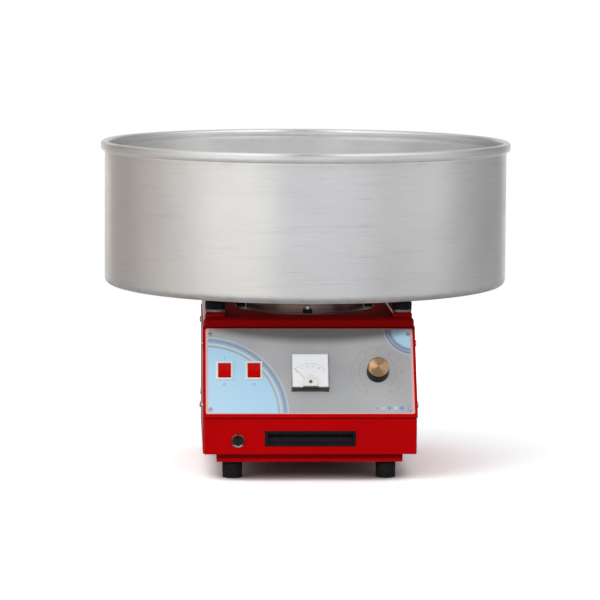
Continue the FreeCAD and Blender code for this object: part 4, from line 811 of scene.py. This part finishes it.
bowl_metal = Finish("bowl_aluminium", [(0.68, 0.675, 0.665), (0.635, 0.633, 0.63)], 0.10, (0.30, 0.38),
                    (0.004, 0.010), 0.0005, Metallic=1.0, Anisotropic=0.7, Anisotropic_Rotation=0.25)
bowl_tree = bowl_metal.tree
bowl_tree.links.new(add(bowl_tree, "Tangent", {}, direction_type="RADIAL", axis="Z").outputs[0],
                    bowl_metal.shader.inputs["Tangent"])
fine = bowl_metal.blotches(Size=1.0, Low=0.40, High=0.64, Stretch=(34.0, 34.0, 900.0))
bowl_metal.lay(fine, (0.73, 0.725, 0.715), 0.30)
bowl_metal.spot((0.52, 0.52, 0.52), 0.30, Size=1.0, Low=0.52, High=0.74, Stretch=(14.0, 14.0, 330.0),
                Shift=3.0)
bowl_metal.dull(fine, 0.46, 0.5)
bowl_metal.spot((0.46, 0.46, 0.46), 0.45, Size=1.0, Low=0.66, High=0.72, Stretch=(22.0, 22.0, 620.0),
                Shift=5.0)
rolled = bowl_metal.use(grain_relief, Size=1.0, Depth=0.010, Stretch=(40.0, 40.0, 1500.0))
bowl_metal.raise_by(rolled["Height"])
bowl_metal.raise_by(bowl_metal.use(grain_relief, Size=0.03, Depth=0.16)["Height"])
bowl_metal.spot((0.50, 0.49, 0.47), 0.35, Size=0.010, Low=0.66, High=0.78, Stretch=(1.0, 1.0, 2.2),
                Shift=9.0)
wall_height, wall_side = coordinate(bowl_tree, "Z"), coordinate(bowl_tree, "X")
inward = vector_calc(bowl_tree, "MULTIPLY", position(bowl_tree), (-1.0, -1.0, 0.0))
faces_axis = measure(bowl_tree, "DOT_PRODUCT", inward, add(bowl_tree, "NewGeometry", {}).outputs["Normal"])
# painted light: the inside of the wall is laid paler than the outside
inside = spread(bowl_tree, faces_axis, 0.05, 0.15)
bowl_metal.lay(inside, (0.82, 0.825, 0.83), 0.8)
# painted shade: a band of the inside wall, right of the middle, is laid darker
inner_wall_painted_shade = times(bowl_tree, spread(bowl_tree, wall_side, 0.02, 0.11), spread(bowl_tree, wall_side, 0.21, 0.15))
bowl_metal.lay(times(bowl_tree, inner_wall_painted_shade, inside), (0.52, 0.53, 0.54), 0.75)
# painted shade and highlight: the crown of the bead is laid darker, and a band just under the bead paler
painted_crown_shade = spread(bowl_tree, wall_height, wall_high.z - 0.0052, wall_high.z - 0.0028, 0.0, 0.7)
bowl_metal.lay(painted_crown_shade, (0.48, 0.48, 0.48))
painted_foot_highlight = times(bowl_tree, spread(bowl_tree, wall_height, bead_low - 0.0070, bead_low - 0.0040),
                 spread(bowl_tree, wall_height, bead_low - 0.0005, bead_low - 0.0020))
bowl_metal.lay(painted_foot_highlight, (0.92, 0.92, 0.915), 0.9)
# painted shade and grime: patches are laid darker under the bead as painted shade, and at the foot of the
# wall as grime
grime_and_shade = bowl_metal.blotches(Size=0.018, Low=0.42, High=0.66, Stretch=(1.0, 1.0, 2.0), Shift=11.0)
shade_under_bead = times(bowl_tree, spread(bowl_tree, wall_height, bead_low - 0.0155, bead_low - 0.0055),
                  spread(bowl_tree, wall_height, bead_low - 0.0010, bead_low - 0.0035))
foot_of_wall = spread(bowl_tree, wall_height, wall_low.z + 0.012, wall_low.z + 0.002)
for place, amount in ((shade_under_bead, 0.10), (foot_of_wall, 0.32)):
    dirt_and_shade = times(bowl_tree, place, grime_and_shade, amount)
    bowl_metal.lay(dirt_and_shade, (0.36, 0.31, 0.26))
    bowl_metal.dull(dirt_and_shade, 0.6)
wall_mesh.materials.append(bowl_metal.material)
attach(bowl_skin, "bowl")
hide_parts("bowl_wall")
dress(bright_zinc, "rim_wire")


# ---- Bowl floor
# A flat aluminium disc welded to the wall's turned-in edge. It was faced in a lathe, so its lines run round
# the hole for the head, and caramel-coloured sugar has dried near that hole.

floor_metal = Finish("floor_aluminium", [(0.66, 0.655, 0.645), (0.60, 0.598, 0.595)], 0.12, (0.34, 0.46),
                     (0.003, 0.008), 0.0004, Metallic=1.0)
turned(floor_metal, (0.72, 0.715, 0.70), 0.35, Pitch=0.0011, Depth=0.010, Climb=0.0)
from_axis = vector_calc(floor_metal.tree, "MULTIPLY", position(floor_metal.tree), (1.0, 1.0, 0.0))
near_hole = spread(floor_metal.tree, measure(floor_metal.tree, "LENGTH", from_axis), 0.125, 0.092)
sugar = times(floor_metal.tree, near_hole, floor_metal.blotches(Size=0.012, Low=0.5, High=0.62, Shift=6.0))
floor_metal.lay(sugar, (0.42, 0.27, 0.13), 0.5)
floor_metal.dull(sugar, 0.22)
dress(floor_metal, "bowl_floor")


# ---- Spinning head
# The head turns with the shaft inside the bowl: a cast aluminium base, a slotted ring that the molten sugar
# leaves by, and a spun cover with the neck that sugar is poured into. Heat has browned the ring.

head_metal = Finish("head_aluminium", [(0.62, 0.615, 0.60), (0.55, 0.545, 0.53)], 0.03, (0.26, 0.4),
                    (0.0008, 0.004), 0.0005, Metallic=1.0)
turned(head_metal, (0.70, 0.69, 0.67), 0.4, Pitch=0.0006, Depth=0.010)
ring_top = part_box("floss_ring")[1].z
heated = spread(head_metal.tree, coordinate(head_metal.tree, "Z"), ring_top + 0.012, ring_top - 0.004)
burnt = times(head_metal.tree, heated, head_metal.blotches(Size=0.010, Low=0.38, High=0.66, Shift=8.0))
head_metal.lay(burnt, (0.30, 0.17, 0.07), 0.6)
head_metal.dull(burnt, 0.5)
dress(head_metal, "head_base", "floss_ring", "head_cover")
dress(bright_zinc, "head_screws", "drive_shaft")

ring_brass = Finish("ring_brass", [(0.70, 0.48, 0.20), (0.60, 0.40, 0.16)], 0.01, (0.2, 0.3),
                    (0.0005, 0.002), 0.0003, Metallic=1.0)
ring_brass.raise_by(ring_brass.use(turned_lines, Pitch=0.0004, Depth=0.008)["Height"])
dress(ring_brass, "slip_rings")

ceramic = Finish("ceramic", [(0.72, 0.68, 0.60), (0.66, 0.60, 0.50)], 0.01, (0.6, 0.8),
                 (0.0008, 0.03), 0.0006)
dress(ceramic, "element_carrier")

ribbon = Finish("heating_ribbon", [(0.16, 0.14, 0.13), (0.10, 0.09, 0.09)], 0.004, (0.4, 0.6),
                (0.0004, 0.006), 0.0001, Metallic=0.8)
ribbon.spot((0.12, 0.13, 0.20), Size=0.006, Low=0.55, High=0.75, Shift=1.0)
dress(ribbon, "heating_element")


# ---- Drawer
# A storage drawer in the foot of the casing: a red enamelled front folded from sheet, and a galvanised box
# behind it that slides on the runners.

dress(red_enamel, "drawer_front")
dress(galvanised, "drawer_box")


# ---- Drawer pull
# A black moulded pocket, pushed through the front from outside until its lip seats. It is dull all over. The
# back of the pocket is painted a little lighter and bluer, a painted highlight of the light it catches, with
# patches of dust on it.

pull_black = Finish("pull_black", [(0.010, 0.009, 0.011), (0.014, 0.012, 0.015)], 0.012, (0.34, 0.46),
                    (0.00035, 0.010), 0.0006, Specular_IOR_Level=0.06)
pull_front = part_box("drawer_pull")[0].y
pocket = spread(pull_black.tree, coordinate(pull_black.tree, "Y"), pull_front + 0.003, pull_front + 0.007)
# painted highlight: the back of the pocket is laid lighter and bluer than its lip
pull_black.lay(pocket, (0.020, 0.015, 0.022))
dusty = times(pull_black.tree, pocket, pull_black.blotches(Size=0.006, Low=0.5, High=0.75, Shift=2.0))
pull_black.lay(dusty, (0.030, 0.024, 0.032))
dress(pull_black, "drawer_pull")


# ---- Drawer lock
# A chromed barrel held by a nut behind the front, with a die-cast plug set deep in it and a cam on its end.
# Above its lower side the chrome is laid dull red, a painted reflection of the red casing, and the plug is
# near black, painted shade of the deep bore.

chrome = Finish("chrome", [(0.58, 0.54, 0.54), (0.46, 0.43, 0.43)], 0.004, (0.10, 0.20), (0.0006, 0.001),
                0.0011, Metallic=1.0)
lock_low, lock_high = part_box("lock_barrel")
lock_middle = (lock_low.z + lock_high.z) / 2
# painted reflection: the barrel's chrome is laid dull red above its lower side
red_reflection_painted = spread(chrome.tree, coordinate(chrome.tree, "Z"), lock_middle - 0.0062, lock_middle - 0.0038)
chrome.lay(red_reflection_painted, (0.20, 0.045, 0.045))
dress(chrome, "lock_barrel")
# painted shade: the plug is coloured near black so that the bore reads dark
lock_zinc = Finish("lock_zinc", [(0.010, 0.009, 0.009), (0.016, 0.015, 0.015)], 0.004, (0.4, 0.55),
                   (0.0005, 0.006), 0.0003, Specular_IOR_Level=0.3)
dress(lock_zinc, "lock_plug")


# ---- Studio
# White paper on the floor of a pale room, which shows only mirrored in metal and glass. The key light stands
# nearly in front, and a broad soft one is higher up on the left. The key light leaves the paper out, which
# keeps the machine's shadow on it soft. Near the machine the paper is painted darker, a painted contact
# shadow.

def add_sun(name, azimuth, elevation, size, strength, colour):
    """A distant light. Azimuth is to the right of straight ahead of the machine, in degrees."""
    data = bpy.data.lights.new(name, "SUN")
    data.angle, data.energy, data.color = math.radians(size), strength, colour
    lamp = new_object(name, data)
    side, up = math.radians(azimuth), math.radians(elevation)
    towards = Vector((math.sin(side) * math.cos(up), -math.cos(side) * math.cos(up), math.sin(up)))
    lamp.rotation_mode = "QUATERNION"
    lamp.rotation_quaternion = towards.to_track_quat("Z", "Y")
    return lamp


key = add_sun("key", -5, 27, 6, 1.85, (1.0, 0.995, 0.985))
side = add_sun("side", -62, 38, 50, 0.55, (1.0, 0.985, 0.96))
for lamp in (key, side):
    lamp.visible_glossy = False
    lamp.visible_transmission = False


def light_path(tree):
    """1 for what the camera sees itself, and 1 for what it sees mirrored or through glass."""
    path = add(tree, "LightPath", {}).outputs
    mirrored = calc(tree, "MAXIMUM", path["Is Glossy Ray"], path["Is Transmission Ray"])
    first = calc(tree, "LESS_THAN", path["Diffuse Depth"], 0.5)
    return path["Is Camera Ray"], times(tree, mirrored, first)


def wall_of_light(tree, name, turn, shades):
    """Light that varies round the room. shades are (degrees to the right of the front, red, green, blue)."""
    ramp_node = add(tree, "ValToRGB", {0: turn})
    ramp_node.label = name
    ramp = ramp_node.color_ramp
    ramp.interpolation = "EASE"
    for degrees, *_ in shades[1:-1]:
        ramp.elements.new(degrees / 360 + 0.5)
    for stop, (_, *shade) in zip(ramp.elements, shades):
        stop.color = (*shade, 1.0)
    return ramp_node.outputs[0]


world = bpy.data.worlds.new("studio")
bpy.context.scene.world = world
world.use_nodes = True
world.cycles.sampling_method = "NONE"
sky = world.node_tree
sky.nodes.clear()
towards = add(sky, "SeparateXYZ", {0: add(sky, "TexCoord", {}).outputs["Generated"]}).outputs
turn = calc(sky, "ADD", 0.5, calc(sky, "DIVIDE", calc(
    sky, "ARCTAN2", towards["X"], times(sky, towards["Y"], -1.0)), 2 * math.pi))
walls = wall_of_light(sky, "walls", turn, [
    (-180, 0.95, 0.95, 0.94), (-158, 0.92, 0.90, 0.88), (-146, 0.49, 0.44, 0.41), (-124, 0.49, 0.44, 0.41),
    (-98, 0.74, 0.68, 0.64), (-76, 1.04, 0.99, 0.95), (-58, 1.38, 1.35, 1.29), (-26, 1.44, 1.43, 1.39),
    (-17, 1.10, 1.12, 1.16), (8, 1.18, 1.18, 1.24), (30, 0.93, 0.93, 0.98), (42, 0.74, 0.74, 0.77),
    (74, 0.94, 0.93, 0.95), (97, 0.60, 0.60, 0.62), (118, 0.44, 0.44, 0.45), (146, 0.40, 0.40, 0.40),
    (158, 0.92, 0.92, 0.92), (180, 0.95, 0.95, 0.94)])
ceiling = wall_of_light(sky, "ceiling", turn, [
    (-180, 0.8, 0.8, 0.8), (-120, 1.0, 1.0, 1.0), (-60, 2.3, 2.3, 2.3), (-22, 2.6, 2.6, 2.6),
    (-14, 0.12, 0.12, 0.12), (12, 0.12, 0.12, 0.12), (20, 2.4, 2.4, 2.4), (60, 2.2, 2.2, 2.2),
    (120, 0.9, 0.9, 0.9), (180, 0.8, 0.8, 0.8)])
high = spread(sky, towards["Z"], 0.42, 0.60)
room_colour = add(sky, "Mix", {0: high, 6: walls, 7: ceiling}, data_type="RGBA").outputs[2]
seen, mirrored = light_path(sky)
ambient = add(sky, "Background", {"Color": (0.97, 0.985, 1.0, 1.0), "Strength": 0.36})
room = add(sky, "Background", {"Color": room_colour, "Strength": 1.0})
white = add(sky, "Background", {"Color": (1.0, 1.0, 1.0, 1.0), "Strength": 1.0})
lit = add(sky, "MixShader", {0: mirrored, 1: ambient.outputs[0], 2: room.outputs[0]})
final = add(sky, "MixShader", {0: seen, 1: lit.outputs[0], 2: white.outputs[0]})
add(sky, "OutputWorld", {"Surface": final.outputs[0]})

floor_mesh = bpy.data.meshes.new("studio_floor")
table = bmesh.new()
floor_radius, contact_reach = 1.7, 0.07
bmesh.ops.create_circle(table, cap_ends=True, segments=256, radius=floor_radius)
table.to_mesh(floor_mesh)
table.free()
studio_floor = new_object("studio_floor", floor_mesh)
paper = bpy.data.materials.new("studio_paper")
paper.use_nodes = True
paper_tree = paper.node_tree
paper_tree.nodes.clear()
paper_seen, paper_mirrored = light_path(paper_tree)
plain = add(paper_tree, "BsdfDiffuse", {"Color": (0.74, 0.74, 0.74, 1.0)})
pale = add(paper_tree, "BsdfDiffuse", {"Color": (1.0, 1.0, 1.0, 1.0)})
# painted shade: near the machine the paper is laid darker and a little cyan, by ambient occlusion, as a
# painted contact shadow
nearness = add(paper_tree, "AmbientOcclusion", {"Distance": contact_reach})
contact = spread(paper_tree, nearness.outputs["AO"], 0.08, 0.62)
paper_white = add(paper_tree, "Mix", {0: contact, 6: (0.8, 0.95, 0.95, 1.0), 7: (3.3, 3.42, 3.42, 1.0)},
                  data_type="RGBA").outputs[2]
bright = add(paper_tree, "BsdfDiffuse", {"Color": paper_white})
paper_light = add(paper_tree, "MixShader", {0: paper_mirrored, 1: plain.outputs[0], 2: pale.outputs[0]})
paper_mix = add(paper_tree, "MixShader", {0: paper_seen, 1: paper_light.outputs[0], 2: bright.outputs[0]})
add(paper_tree, "OutputMaterial", {"Surface": paper_mix.outputs[0]})
floor_mesh.materials.append(paper)
not_by_key = bpy.data.collections.new("not_lit_by_key")
not_by_key.objects.link(studio_floor)
not_by_key.collection_objects[0].light_linking.link_state = "EXCLUDE"
key.light_linking.receiver_collection = not_by_key


# ---- Camera
# A long lens, 3.7 m in front of the machine and a little to its left. It is higher than the rim, so it looks
# down into the bowl, and it is turned slightly on its own axis.

camera_data = bpy.data.cameras.new("camera")
camera_data.lens, camera_data.sensor_width = 176.05, 36.0
camera_data.clip_start, camera_data.clip_end = 0.1, 200.0
camera = new_object("camera", camera_data)
camera_place = (-0.1706, -3.7216, 0.6320)
camera_azimuth, camera_elevation, camera_roll = (math.radians(angle) for angle in (-2.532, 6.554, 0.337))
camera.matrix_world = (Matrix.Translation(camera_place) @ Matrix.Rotation(camera_azimuth, 4, "Z")
                       @ Matrix.Rotation(math.pi / 2 - camera_elevation, 4, "X")
                       @ Matrix.Rotation(camera_roll, 4, "Z"))
bpy.context.scene.camera = camera
bpy.context.scene.view_settings.view_transform = "Standard"
